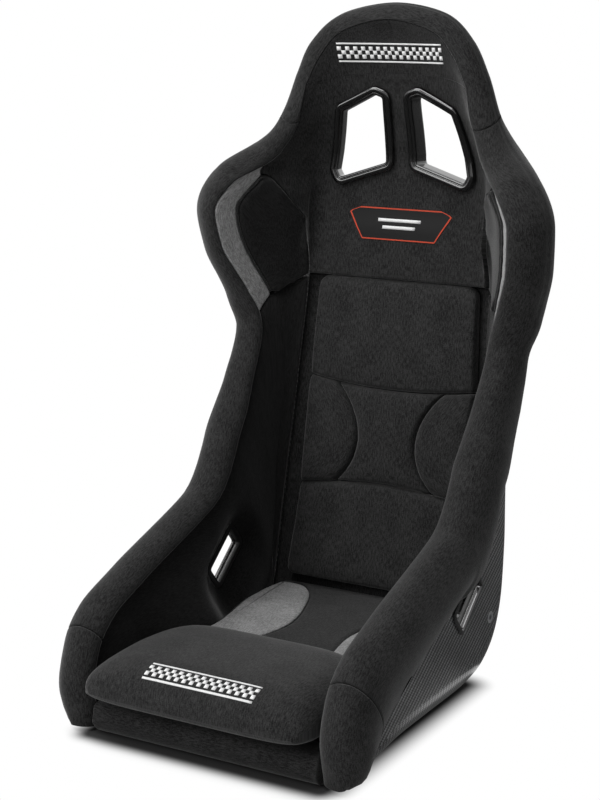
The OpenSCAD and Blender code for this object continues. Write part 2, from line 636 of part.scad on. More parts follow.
// A piece between stations a(s) and b(s), from x0(v) to x1(v), where s runs from 0 to 1.
module cushion(a, b, x0, x1, half = false, m = 5, n = 6) {
    function where(i, j) = let (
            v0 = lerp(a(0.5), b(0.5), i / m), f = lerp(x0(v0), x1(v0), j / n) / cushion_x(v0),
            v = lerp(a(f), b(f), i / m)
        ) [aside(lerp(x0(v0), x1(v0), j / n), v), v];
    slab(
        [for (i = [0:m]) [for (j = [0:n]) let (p = where(i, j)) at(p.x, p.y, back_low
            + (cushion_h(p.y) - back_low) * crown(i / m, 0.7) * crown(half ? (1 + j / n) / 2 : j / n, 0.7))]],
        [for (i = [0:m]) [for (j = [0:n]) let (p = where(i, j)) at(p.x, p.y, back_low)]]
    );
}
SEAM_V = 0.005;
function waist_x(v) = let (t = (v - 10) / 0.86) 46 + 50 * abs(2 * t - 1) ^ 2;
module back_cushion_top() {
    color("#2b2c2f") both() cushion(function(s) seam_high(s) + SEAM_V, function(s) CUSHION_TOP_V,
        function(v) 0, function(v) cushion_x(v), half = true);
}
module back_cushion_middle() {
    color("#2b2c2f") both() cushion(function(s) seam_low(s) + SEAM_V,
        function(s) seam_high(s) - SEAM_V, function(v) 0, function(v) waist_x(v), half = true);
}
module back_cushion_bottom() {
    color("#2b2c2f") both() cushion(function(s) CUSHION_V, function(s) seam_low(s) - SEAM_V,
        function(v) 0, function(v) cushion_x(v), half = true);
}
module back_cushion_side(side) {
    color("#222326") on(side) cushion(function(s) seam_low(s) + SEAM_V,
        function(s) seam_high(s) - SEAM_V, function(v) waist_x(v) + 2 * gap,
        function(v) cushion_x(v));
}
module back_cushion_side_left() { back_cushion_side(-1); }
module back_cushion_side_right() { back_cushion_side(1); }

// Thigh cushion: each section is y, half-width, bottom z and top z.
thigh_x = wall_x - rim_in - 6;
thigh_low = front_pad_h + 2 * gap + tape_t;
THIGH = [
    [-318, thigh_x - 24, thigh_low + 22, thigh_top - 34],
    [-312, thigh_x - 12, thigh_low + 13, thigh_top - 21],
    [-296, thigh_x - 4, thigh_low + 6, thigh_top - 9],
    [-262, thigh_x, thigh_low, thigh_top - 2],
    [-210, thigh_x, thigh_low, thigh_top],
    [-165, thigh_x - 7, thigh_low, thigh_top - 1],
    [-132, thigh_x - 24, thigh_low, thigh_top - 5],
    [-112, thigh_x - 50, thigh_low + 1, thigh_top - 11],
    [-104, thigh_x - 84, thigh_low + 8, thigh_top - 20],
];
module thigh_cushion() {
    across = [0, 0.4, 0.72, 0.9, 0.98, 1];
    function lift(s) = 0.62 * (1 - (1 - s ^ 6) ^ 0.5);
    color("#2d2e31") both() slab(
        [for (c = THIGH) [for (s = across) [c[1] * s, c[0], lerp(c[3], c[2], lift(s) * 0.9)]]],
        [for (c = THIGH) [for (s = across) [c[1] * s, c[0], lerp(c[2], c[3], lift(s) * 0.4)]]]
    );
}

shell();
mount_insert_front_left();
mount_insert_front_right();
mount_insert_rear_left();
mount_insert_rear_right();
front_bolster_left();
front_bolster_right();
side_band_left();
side_band_right();
head_band();
side_panel_left();
side_panel_right();
wing_pad_left();
wing_pad_right();
wing_stripe_left();
wing_stripe_right();
back_panel();
neck_panel();
head_pad();
seat_pad();
seat_insert_left();
seat_insert_right();
front_pad();
front_apron();
harness_bezel_left();
harness_bezel_right();
harness_ring_left();
harness_ring_right();
lap_trim_left();
lap_trim_right();
lap_bezel_left();
lap_bezel_right();
crotch_grommet();
hook_tape_back();
hook_tape_thigh();
back_cushion_top();
back_cushion_middle();
back_cushion_bottom();
back_cushion_side_left();
back_cushion_side_right();
thigh_cushion();
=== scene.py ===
# A fixed-back racing seat: a woven carbon shell with a padded rim, knitted covers over foam,
# openings for the harness belts and two loose cushions.
import math

import bmesh
import bpy
import numpy as np
from mathutils import Matrix, Vector
from mathutils.bvhtree import BVHTree


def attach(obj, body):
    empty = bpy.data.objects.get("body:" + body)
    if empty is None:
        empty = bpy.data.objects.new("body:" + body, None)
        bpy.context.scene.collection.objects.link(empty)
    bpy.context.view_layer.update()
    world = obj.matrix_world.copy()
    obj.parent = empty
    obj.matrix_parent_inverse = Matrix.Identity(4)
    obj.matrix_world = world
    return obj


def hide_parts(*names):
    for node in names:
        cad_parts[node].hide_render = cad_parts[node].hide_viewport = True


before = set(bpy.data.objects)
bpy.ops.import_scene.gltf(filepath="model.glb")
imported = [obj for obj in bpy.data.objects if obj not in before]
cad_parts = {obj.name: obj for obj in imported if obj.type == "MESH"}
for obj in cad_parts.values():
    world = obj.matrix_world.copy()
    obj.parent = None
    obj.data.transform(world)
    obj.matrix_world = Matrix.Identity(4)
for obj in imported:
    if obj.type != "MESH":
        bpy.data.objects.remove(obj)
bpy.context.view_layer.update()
scene = bpy.context.scene


# Camera and stage. The seat stands on a white sweep, in a dim white room with three large
# soft lamps: one overhead, one in front and a weak one on the left.
def hexa(code):
    """An sRGB hex value as linear red, green, blue and alpha."""
    parts = [int(code[i:i + 2], 16) / 255 for i in (0, 2, 4)]
    return [c / 12.92 if c <= 0.04045 else ((c + 0.055) / 1.055) ** 2.4 for c in parts] + [1]


def node(tree, kind, inputs=(), **settings):
    """Adds a node with its settings, and gives each input a value, a link or a node to link to."""
    made = tree.nodes.new("ShaderNode" + kind)
    for key, value in settings.items():
        setattr(made, key, value)
    for key, value in dict(inputs).items():
        if isinstance(value, bpy.types.Node):
            value = value.outputs[0]
        if isinstance(value, bpy.types.NodeSocket):
            tree.links.new(value, made.inputs[key])
        else:
            made.inputs[key].default_value = value
    return made


def aim(obj, place, target):
    """Puts a lamp or the camera at a place, turned towards a target."""
    back = np.subtract(place, target)
    flat = math.hypot(back[0], back[1])
    obj.location = place
    obj.rotation_euler = (math.atan2(flat, back[2]), 0, math.atan2(back[1], back[0]) + math.pi / 2)
    scene.collection.objects.link(obj)


camera = bpy.data.objects.new("camera", bpy.data.cameras.new("camera"))
camera.data.lens = 80.9
aim(camera, (1.1756, -2.0354, 0.9437), (-0.037, 0.025, 0.402))
scene.camera = camera
scene.view_settings.view_transform = "Standard"

LAMPS = {"overhead": ((-0.5, -0.9, 2.9), (0, 0, 0.3), 2.0, 66),
         "front": ((-1.7, -2.9, 1.9), (0, 0, 0.5), 1.8, 46),
         "left": ((-2.6, 0.3, 1.7), (0, 0, 0.5), 1.2, 26)}
for name, (place, target, width, power) in LAMPS.items():
    lamp = bpy.data.objects.new(name, bpy.data.lights.new(name, "AREA"))
    lamp.data.size = width
    lamp.data.energy = power
    aim(lamp, place, target)

world = bpy.data.worlds.new("room")
world.use_nodes = True
scene.world = world
tree = world.node_tree
path = node(tree, "LightPath")
plain = node(tree, "Math", {0: path.outputs["Is Camera Ray"], 1: path.outputs["Is Transmission Ray"]},
             operation="MAXIMUM")
seen = node(tree, "Math", {0: plain, 1: path.outputs["Is Glossy Ray"]}, operation="MAXIMUM")
level = node(tree, "MapRange", {0: seen, 3: 0.22, 4: 1.0})
tree.nodes["Background"].inputs["Color"].default_value = (1, 1, 1, 1)
tree.links.new(level.outputs[0], tree.nodes["Background"].inputs["Strength"])

bm = bmesh.new()
bmesh.ops.create_grid(bm, x_segments=1, y_segments=1, size=14)
mesh = bpy.data.meshes.new("floor")
bm.to_mesh(mesh)
bm.free()
floor = bpy.data.objects.new("floor", mesh)
scene.collection.objects.link(floor)
sweep = bpy.data.materials.new("matt white sweep")
sweep.use_nodes = True
tree = sweep.node_tree
paint = tree.nodes["Principled BSDF"]
paint.inputs["Roughness"].default_value = 0.9
paint.inputs["Specular IOR Level"].default_value = 0.1
path = node(tree, "LightPath")
glow = node(tree, "Emission", {"Color": (1, 1, 1, 1), "Strength": 1.0})
# Close to the seat's foot the floor keeps its shadow, and further out it is the white backdrop.
# The foot is a rectangle on the floor, as its middle and its half sizes, in metres.
FOOT_MIDDLE, FOOT_HALF = (0, -0.083, 0), (0.17, 0.198, 0)
place = node(tree, "TexCoord")
middle = node(tree, "VectorMath", {0: place.outputs["Object"], 1: FOOT_MIDDLE}, operation="SUBTRACT")
folded = node(tree, "VectorMath", {0: middle}, operation="ABSOLUTE")
over = node(tree, "VectorMath", {0: folded, 1: FOOT_HALF}, operation="SUBTRACT")
past = node(tree, "VectorMath", {0: over, 1: (0, 0, 0)}, operation="MAXIMUM")
far = node(tree, "VectorMath", {0: past}, operation="LENGTH")
fade = node(tree, "MapRange", {0: far.outputs["Value"], 1: 0.008, 2: 0.052},
            interpolation_type="SMOOTHSTEP")
# Painted shadow: right under the seat, where hardly any light reaches, and close round its foot, the floor's
# own colour is painted dark grey, a painted contact shadow that fades to near-white.
painted_shadow_fade = node(tree, "MapRange", {0: far.outputs["Value"], 1: 0.006, 2: 0.042},
                  interpolation_type="SMOOTHSTEP")
tone = node(tree, "Mix", {0: painted_shadow_fade, 6: hexa("3c3c3c"), 7: hexa("f4f4f4")}, data_type="RGBA")
tree.links.new(tone.outputs[2], paint.inputs["Base Color"])
# Painted reflection: in reflections the floor is not its lit paint but a glow, dim all over, with a bright
# band beside the rear of the seat that shows in the shell's lower corner.
GLOW_BAND_FAR = 0.054
off = node(tree, "Math", {0: far.outputs["Value"], 1: GLOW_BAND_FAR}, operation="SUBTRACT")
apart = node(tree, "Math", {0: off}, operation="ABSOLUTE")
ahead = node(tree, "SeparateXYZ", {0: place.outputs["Object"]})
rear = node(tree, "MapRange", {0: ahead.outputs[1], 1: -0.12, 2: 0.04, 3: 0.0, 4: 0.9})
near = node(tree, "MapRange", {0: apart, 1: 0.008, 2: 0.022, 3: 1.0, 4: 0.0},
            interpolation_type="SMOOTHSTEP")
painted_reflection = node(tree, "Math", {0: near, 1: rear, 2: 0.1}, operation="MULTIPLY_ADD")
strength = node(tree, "Mix", {0: path.outputs["Is Glossy Ray"], 2: 1.0, 3: painted_reflection})
tree.links.new(strength.outputs[0], glow.inputs["Strength"])
plain = node(tree, "Math", {0: path.outputs["Is Camera Ray"], 1: path.outputs["Is Transmission Ray"]},
             operation="MAXIMUM")
faded = node(tree, "Math", {0: plain, 1: fade}, operation="MULTIPLY")
share = node(tree, "Math", {0: faded, 1: path.outputs["Is Glossy Ray"]}, operation="MAXIMUM")
mix = node(tree, "MixShader", {0: share, 1: paint, 2: glow})
tree.links.new(mix.outputs[0], tree.nodes["Material Output"].inputs["Surface"])
floor.data.materials.append(sweep)


# Shell: a bucket of woven carbon cloth and resin, laid up in one mould, 5 mm thick at its
# edge, with a clear gloss coat. It is a row of sections from the front of the floor, up the
# back and to the top of the head; each is a flat floor, a round corner and a wall, or one arc.
SHELL_T = 5
WALL_X = 195
SEAM_D = 22
LINING = 1.4
GAP = 0.5
# Inner spine y and z, rim crest y and z, half-width at spine and rim, corner radius,
# roundness, outer padding and its width, all in millimetres.
SECTIONS = np.array([
    (-225, 5, -287, 6, 195, 195, 10, 0, 26, 50),
    (-215, 5, -297, 66, 195, 195, 14, 0, 30, 84),
    (-190, 5, -281, 122, 195, 195, 20, 0, 31, 118),
    (-150, 5, -241, 164, 195, 195, 28, 0, 34, 128),
    (-90, 5, -164, 197, 195, 195, 36, 0, 34, 122),
    (55, 5, 14, 262, 195, 195, 38, 0, 34, 100),
    (118, 10, 38, 290, 195, 195, 40, 0, 34, 108),
    (168, 34, 52, 314, 195, 195, 44, 0, 34, 112),
    (196, 80, 66, 340, 195, 195, 48, 0, 34, 112),
    (209, 150, 92, 376, 193, 197, 52, 0, 32, 108),
    (219, 230, 114, 412, 188, 198, 56, 0, 29, 104),
    (244, 410, 146, 476, 174, 202, 58, 0, 31, 74),
    (256, 500, 138, 522, 166, 217, 60, 0, 42, 92),
    (264, 580, 114, 586, 160, 241, 60, 0, 46, 88),
    (270, 640, 104, 640, 152, 246, 60, 0, 46, 84),
    (265, 695, 116, 686, 138, 225, 54, 0, 42, 76),
    (257, 745, 155, 722, 123, 184, 46, 0.1, 32, 62),
    (247, 790, 182, 764, 106, 155, 42, 0.4, 24, 50),
    (239, 835, 190, 820, 79, 130, 40, 0.8, 26, 42),
    (236, 864, 193, 863, 58, 107, 36, 1, 26, 38),
    (235, 883, 198, 897, 30, 74, 30, 1, 25, 35),
    (235, 890, 201, 914, 0, 0, 20, 1, 25, 34),
], float)
TOP = len(SECTIONS) - 1
beyond = SECTIONS[-2] * [1, 1, 1, 1, -1, -1, 1, 1, 1, 1]
GHOST = np.vstack([2 * SECTIONS[0] - SECTIONS[1], SECTIONS, beyond])


def lerp(a, b, t):
    return a + (b - a) * t


def slope(a, b):
    """A slope that never overshoots its neighbours."""
    total = np.where(a * b > 0, a + b, 1)
    return np.where(a * b > 0, 2 * a * b / total, 0)


def section(v):
    """The ten sizes of the section at station v."""
    v = np.asarray(v, float)
    i = np.clip(np.floor(v).astype(int), 0, TOP - 1)
    t = (v - i)[..., None]
    before, a, b, after = (GHOST[i + k] for k in range(4))
    m, n = slope(a - before, b - a), slope(b - a, after - b)
    return lerp(a, b, 3 * t ** 2 - 2 * t ** 3) + m * (t ** 3 - 2 * t ** 2 + t) + n * (t ** 3 - t ** 2)


def face(u, v):
    """Point of the shell's inner face: u is 0 to 1 floor, 1 to 6 corner, 6 to 8 wall."""
    u, v = np.broadcast_arrays(np.asarray(u, float), np.asarray(v, float))
    s = section(np.where(v > TOP, 2 * TOP - v, np.maximum(v, 0)))
    side = np.sign(u) * np.where(v > TOP, -1, 1)
    u = np.abs(u)
    wide, high = np.maximum(s[..., 5], 0), np.hypot(s[..., 2] - s[..., 0], s[..., 3] - s[..., 1])
    spine = np.maximum(s[..., 4], 0)
    turn = np.arctan2(high, wide - spine)
    r = np.minimum(s[..., 6], 0.9 * np.minimum(spine, high) / np.tan(turn / 2))
    cut = r * np.tan(turn / 2)
    a = np.clip((u - 1) / 5, 0, 1) * turn
    x = np.where(u < 1, u * (spine - cut), spine - cut + r * np.sin(a))
    y = np.where(u < 1, 0, r * (1 - np.cos(a)))
    t = np.clip((u - 6) / 2, 0, None)
    x, y = lerp(x, wide, t), lerp(y, high, t)
    arc = np.pi / 2 * u / 8
    x, y = lerp(x, wide * np.sin(arc), s[..., 7]), lerp(y, high * (1 - np.cos(arc)), s[..., 7])
    return np.stack([side * x, s[..., 0] + y * (s[..., 2] - s[..., 0]) / high,
                     s[..., 1] + y * (s[..., 3] - s[..., 1]) / high], -1)


def unit(p):
    return p / np.maximum(np.linalg.norm(p, axis=-1, keepdims=True), 1e-9)


def normal(u, v, step=0.02):
    """Direction out of the shell's inner face, into the seat."""
    across = face(np.minimum(u + step, 8), v) - face(u - step, v)
    onward = face(u, v + step) - face(u, np.maximum(v - step, 0))
    return unit(np.cross(across, onward))


def at(u, v, w=0):
    """Point of the seat at u across and v along, w above the shell's inner face."""
    return face(u, v) + normal(u, v) * np.asarray(w, float)[..., None]


def wall_width(v):
    wall = face(8, v) - face(6, v)
    onward = unit(face(8, v + 0.25) - face(8, np.maximum(v - 0.25, 0)))
    return np.linalg.norm(np.cross(wall, onward), axis=-1)


def below(d, v):
    """Place across at a distance d below the crest of the rim."""
    return 8 - 2 * d / wall_width(v)


def seam(v):
    return np.interp(v, [9, 11.4, 12.3, 15.2, 16, 18], [SEAM_D, 17, 12, 12, 15, 8])


def tucked(v):
    """How far round its roll the rim's cover starts: past the neck its seam climbs to the crest."""
    return np.radians(np.interp(v, [17, 18], [0, 52]))


def edge(v):
    return below(seam(v) * (1 - np.sin(tucked(v))) + 1.6 * GAP, v)


def grid(m, n):
    """A flat sheet of m by n cells, whose points know their row and their column."""
    bm = bmesh.new()
    row, column = bm.verts.layers.int.new("row"), bm.verts.layers.int.new("column")
    bmesh.ops.create_grid(bm, x_segments=n, y_segments=m, size=1)
    for p in bm.verts:
        p[row] = round((p.co.y + 1) / 2 * m)
        p[column] = round((p.co.x + 1) / 2 * n)
    return bm


def lay(bm, points, verts=None):
    """Moves each point of the sheet to its place, given in millimetres."""
    row, column = bm.verts.layers.int["row"], bm.verts.layers.int["column"]
    for p in bm.verts if verts is None else verts:
        p.co = points[p[row], p[column]] / 1000


def lengths(points, axis):
    """Distance along the rows or the columns of a sheet of points."""
    steps = np.linalg.norm(np.diff(points, axis=axis), axis=-1)
    return np.insert(np.cumsum(steps, axis=axis), 0, 0, axis=axis)


def chart(bm, points):
    """Gives the sheet a UV map in metres, so that cloth has its real scale."""
    across, along = lengths(points, 1), lengths(points, 0)
    row, column = bm.verts.layers.int["row"], bm.verts.layers.int["column"]
    layer = bm.loops.layers.uv.new("weave")
    for f in bm.faces:
        for loop in f.loops:
            k = loop.vert[row], loop.vert[column]
            loop[layer].uv = (across[k] / 1000, along[k] / 1000)


def laid(points, cloth=None):
    """A sheet through a table of points, with the UV map of the cloth on it."""
    bm = grid(points.shape[0] - 1, points.shape[1] - 1)
    lay(bm, points)
    chart(bm, points if cloth is None else cloth)
    return bm


def map_flat(bm, plane, faces=None):
    """Gives faces a UV map in metres as they look square on to a plane, such as xy."""
    layer = bm.loops.layers.uv.get("weave") or bm.loops.layers.uv.new("weave")
    for f in bm.faces if faces is None else faces:
        for loop in f.loops:
            loop[layer].uv = getattr(loop.vert.co, plane)


def weld(bm):
    """Joins the points that lie on each other."""
    bmesh.ops.remove_doubles(bm, verts=bm.verts[:], dist=1e-6)


def mirrored(bm):
    """Adds the other half of a piece that crosses the centre plane, and joins the two."""
    bmesh.ops.mirror(bm, geom=bm.verts[:] + bm.edges[:] + bm.faces[:], merge_dist=1e-5, axis="X")
    weld(bm)


def thicken(bm, points, centre):
    """Closes the sheet with a second one at points; a half piece stays open at its centre."""
    made = bmesh.ops.extrude_face_region(bm, geom=bm.faces[:], use_keep_orig=True)["geom"]
    lay(bm, points, [g for g in made if isinstance(g, bmesh.types.BMVert)])
    if centre:
        column = bm.verts.layers.int["column"]
        wall = [f for f in bm.faces if all(p[column] == 0 for p in f.verts)]
        bmesh.ops.delete(bm, geom=wall, context="FACES")
        mirrored(bm)
    bmesh.ops.recalc_face_normals(bm, faces=bm.faces[:])


def piece(name, bm, material, body, slot, *nodes, side=1, sharp=None):
    """Makes the mesh an object that rides on a body and stands for CAD nodes."""
    if side < 0:
        bmesh.ops.scale(bm, vec=(-1, 1, 1), verts=bm.verts[:])
        bmesh.ops.reverse_faces(bm, faces=bm.faces[:])
    mesh = bpy.data.meshes.new(name)
    bm.to_mesh(mesh)
    bm.free()
    mesh.shade_smooth()
    if sharp:
        mesh.set_sharp_from_angle(angle=math.radians(sharp))
    mesh.materials.append(material)
    obj = bpy.data.objects.new(name, mesh)
    scene.collection.objects.link(obj)
    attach(obj, body)
    if nodes:
        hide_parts(*nodes)
    return obj


def carve(obj, *cutters):
    """Cuts the cutters out of a finished piece."""
    for cutter in cutters:
        cut = obj.modifiers.new("cut", "BOOLEAN")
        cut.object = cutter
        cut.operation = "DIFFERENCE"
        cut.solver = "EXACT"
    bpy.context.view_layer.update()
    graph = bpy.context.evaluated_depsgraph_get()
    mesh = bpy.data.meshes.new_from_object(obj.evaluated_get(graph))
    obj.modifiers.clear()
    old = obj.data
    obj.data = mesh
    bpy.data.meshes.remove(old)


def rounded(corners, r, n=8):
    """A closed outline with an arc of n steps at each corner."""
    out = []
    c = np.array(corners, float)
    for p, q, s in zip(np.roll(c, 1, 0), c, np.roll(c, -1, 0)):
        a, b = unit(p - q), unit(s - q)
        k = r / math.tan(math.acos(float(a @ b)) / 2)
        t = np.linspace(0, 1, n + 1)[:, None]
        out.append((1 - t) ** 2 * (q + a * k) + 2 * t * (1 - t) * q + t ** 2 * (q + b * k))
    return np.vstack(out)


def oblong(length, width, r):
    """The outline of a bar with rounded corners."""
    x, y = length / 2, width / 2
    return rounded([(-x, y), (x, y), (x, -y), (-x, -y)], r)


def dense(outline, gap=5):
    """The outline with more points along its straight sides."""
    out = []
    for a, b in zip(outline, np.roll(outline, -1, 0)):
        n = max(1, math.ceil(np.linalg.norm(b - a) / gap))
        out += [lerp(a, b, k / n) for k in range(n)]
    return np.array(out)


def grown(outline, d):
    """The outline moved outwards by d."""
    a, b = unit(outline - np.roll(outline, 1, 0)), unit(np.roll(outline, -1, 0) - outline)
    n = unit(np.stack([-(a + b)[:, 1], (a + b)[:, 0]], -1))
    side = np.stack([-a[:, 1], a[:, 0]], -1)
    return outline + n * d / np.maximum(0.5, (n * side).sum(-1))[:, None]


# The harness openings slant outwards to the rear; corners are x and z of the right one.
HARNESS = rounded([(26, 801), (40, 806), (91, 780), (106, 693), (100, 681), (24, 706)], 7)
SLANT = math.radians(12)
SLANT_X, SLANT_Y = 62, 250


def tunnel(q, s):
    """Point of the opening's outline q, s behind the middle of the wall."""
    x = q[..., 0] - SLANT_X
    return np.stack([SLANT_X + x * math.cos(SLANT) + s * math.sin(SLANT),
                     SLANT_Y - x * math.sin(SLANT) + s * math.cos(SLANT), q[..., 1] + 0 * s], -1)


# The lap belt slots: a rounded bar that slants up to the rear, as y and z.
LAP_L, LAP_W, LAP_Y, LAP_Z = 72, 34, 68, 143
LAP_A = math.radians(40)
LAP_TURN = np.array([(math.cos(LAP_A), math.sin(LAP_A)), (-math.sin(LAP_A), math.cos(LAP_A))])
LAP = oblong(LAP_L, LAP_W, 4) @ LAP_TURN + (LAP_Y, LAP_Z)
# The crotch slot in the floor, with round ends, as x and y.
CROTCH_Y, CROTCH_L, CROTCH_W = -128, 120, 26
CROTCH = oblong(CROTCH_L, CROTCH_W, 12.9) + (0, CROTCH_Y)
# How far the cut edges stand back from an opening's outline, under its trim.
BACK, BACK_FLOOR = 3, 3.5
MOUNTS_Y, MOUNT_Z = (-145, 145), 96


def cutter(name, near, far):
    """A closed prism between two rings of points, for carve."""
    bm = bmesh.new()
    base = bm.faces.new([bm.verts.new(p / 1000) for p in near])
    made = bmesh.ops.extrude_face_region(bm, geom=[base], use_keep_orig=True)["geom"]
    for p, q in zip([g for g in made if isinstance(g, bmesh.types.BMVert)], far):
        p.co = q / 1000
    bmesh.ops.recalc_face_normals(bm, faces=bm.faces[:])
    mesh = bpy.data.meshes.new(name)
    bm.to_mesh(mesh)
    bm.free()
    return bpy.data.objects.new(name, mesh)


def flip(points):
    return points * [-1, 1, 1]


def through_neck(d=BACK):
    """The ways of both harness openings, d wider than their outline."""
    ring = grown(HARNESS, d)
    near, far = (tunnel(ring, np.full(len(ring), s)) for s in (-80.0, 60.0))
    return [cutter("harness way", near, far), cutter("harness way", flip(near), flip(far))]


def through_side(d, x0, x1, side=1):
    """The way of a lap slot from x0 to x1, d wider than its outline."""
    ring = grown(LAP, d)
    near, far = (np.insert(ring, 0, x, axis=1) * [side, 1, 1] for x in (x0, x1))
    return cutter("lap way", near, far)


def through_floor(z0, z1, d=BACK_FLOOR):
    """The way of the crotch slot from z0 to z1."""
    ring = grown(CROTCH, d)
    return cutter("crotch way", np.insert(ring, 2, z0, axis=1), np.insert(ring, 2, z1, axis=1))


def mount_way(r, y, x0, x1, side=1):
    """A round way of radius r at a side mount."""
    a = np.linspace(0, 2 * np.pi, 48, endpoint=False)
    ring = np.stack([y + r * np.cos(a), MOUNT_Z + r * np.sin(a)], -1)
    return cutter("mount way", *(np.insert(ring, 0, x, axis=1) * [side, 1, 1] for x in (x0, x1)))


def finish(name, colour, roughness, **sockets):
    """A material with its own Principled BSDF, and its tree."""
    made = bpy.data.materials.new(name)
    made.use_nodes = True
    shader = made.node_tree.nodes["Principled BSDF"]
    shader.inputs["Base Color"].default_value = hexa(colour)
    shader.inputs["Roughness"].default_value = roughness
    for key, value in sockets.items():
        shader.inputs[key.replace("_", " ")].default_value = value
    return made, made.node_tree, shader


# Carbon fibre in epoxy, a 2 by 2 twill under clear coat. The tows that run one way are painted light
# grey on their crests, a painted glint for the light they catch, and the others stay black, so the
# eye sees fine diagonal lines that climb to the rear, in a soft gloss.
# Tows of 2.5 mm: the real ones are a little narrower, and would not show.
TOW = 0.0025
carbon, tree, shader = finish("carbon twill, clear coated", "141414", 0.36, Coat_Weight=0.5,
                              Coat_Roughness=0.07, Specular_IOR_Level=0.4)
uv = node(tree, "UVMap", uv_map="weave")
tows = node(tree, "Mapping", {"Vector": uv, "Scale": (1 / TOW, 1 / TOW, 1),
                                 "Rotation": (0, 0, math.radians(12))})
xy = node(tree, "SeparateXYZ", {0: tows})
column = node(tree, "Math", {0: xy}, operation="FLOOR")
row = node(tree, "Math", {0: xy.outputs[1]}, operation="FLOOR")
step = node(tree, "Math", {0: column, 1: row}, operation="SUBTRACT")
turn = node(tree, "Math", {0: step, 1: 4.0}, operation="FLOORED_MODULO")
warp = node(tree, "Math", {0: turn, 1: 1.5}, operation="LESS_THAN")
inx = node(tree, "Math", {0: xy}, operation="FRACT")
iny = node(tree, "Math", {0: xy.outputs[1]}, operation="FRACT")
which = node(tree, "Mix", {0: warp, 2: iny, 3: inx})
bulge = node(tree, "Math", {0: which, 1: math.pi}, operation="MULTIPLY")
hump = node(tree, "Math", {0: bulge}, operation="SINE")
cloud = node(tree, "TexNoise", {"Vector": uv, "Scale": 22.0, "Detail": 3.0})
# Painted glint: the light tows are painted brighter in soft patches, as if some caught more light.
glint = node(tree, "TexNoise", {"Vector": tows, "Scale": 0.9, "Detail": 1.0})
shine = node(tree, "MapRange", {0: glint, 1: 0.35, 2: 0.7, 3: 0.45, 4: 1.0})
crest = node(tree, "Math", {0: shine, 1: hump}, operation="MULTIPLY")
painted_glint = node(tree, "Math", {0: warp, 1: crest}, operation="MULTIPLY")
tone = node(tree, "Mix", {0: painted_glint, 6: hexa("050505"), 7: hexa("a2a3a4")}, data_type="RGBA")
tint = node(tree, "MapRange", {0: cloud, 1: 0.3, 2: 0.7, 3: 0.75, 4: 1.15})
shade = node(tree, "Mix", {0: 1.0, 6: tone.outputs[2], 7: tint}, data_type="RGBA",
             blend_type="MULTIPLY")
tree.links.new(shade.outputs[2], shader.inputs["Base Color"])
bump = node(tree, "Bump", {"Height": hump, "Strength": 0.25, "Distance": 0.0003})
tree.links.new(bump.outputs[0], shader.inputs["Normal"])

FIRST_WALL = 32
U = np.concatenate([np.linspace(0, 1, 9)[:-1], np.linspace(1, 6, 25)[:-1], np.linspace(6, 8, 14)])
rows = np.linspace(0, TOP, 211)
V, U = np.meshgrid(rows, U, indexing="ij")
U = np.where(U > 6, lerp(6, edge(V), (U - 6) / 2), U)
V = np.minimum(V, TOP - 1e-4)
inside, outside = at(U, V, 0 * V), at(U, V, 0 * V - SHELL_T)
for points in (inside, outside):
    points[:, 0, 0] = 0
    points[-1, :, 0] = 0
bm = laid(inside, outside)
# The walls carry a ply of their own, laid flat.
column = bm.verts.layers.int["column"]
map_flat(bm, "yz", [f for f in bm.faces if min(p[column] for p in f.verts) >= FIRST_WALL])
thicken(bm, outside, True)
shell = piece("carbon_shell", bm, carbon, "seat", "carbon", "shell", sharp=50)
ways = through_neck() + [through_side(BACK, 180, 215, k) for k in (1, -1)] + [through_floor(-9, 16)]
ways += [mount_way(8.75, y, 172, 225, k) for y in MOUNTS_Y for k in (1, -1)]
carve(shell, *ways)


# Side-mount inserts: turned steel bushes with an M8 thread, bonded into the shell. The plating
# is cloudy, so that they gleam unevenly in the dark wall.
steel, tree, shader = finish("turned steel, zinc plated", "d8dadc", 0.32, Metallic=1.0)
place = node(tree, "TexCoord")
grain = node(tree, "TexNoise", {"Vector": place.outputs["Object"], "Scale": 900.0, "Detail": 2.0})
worn = node(tree, "MapRange", {0: grain, 3: 0.24, 4: 0.42})
tree.links.new(worn.outputs[0], shader.inputs["Roughness"])
for name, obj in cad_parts.items():
    if name.startswith("mount_insert"):
        obj.data.materials.clear()
        obj.data.materials.append(steel)


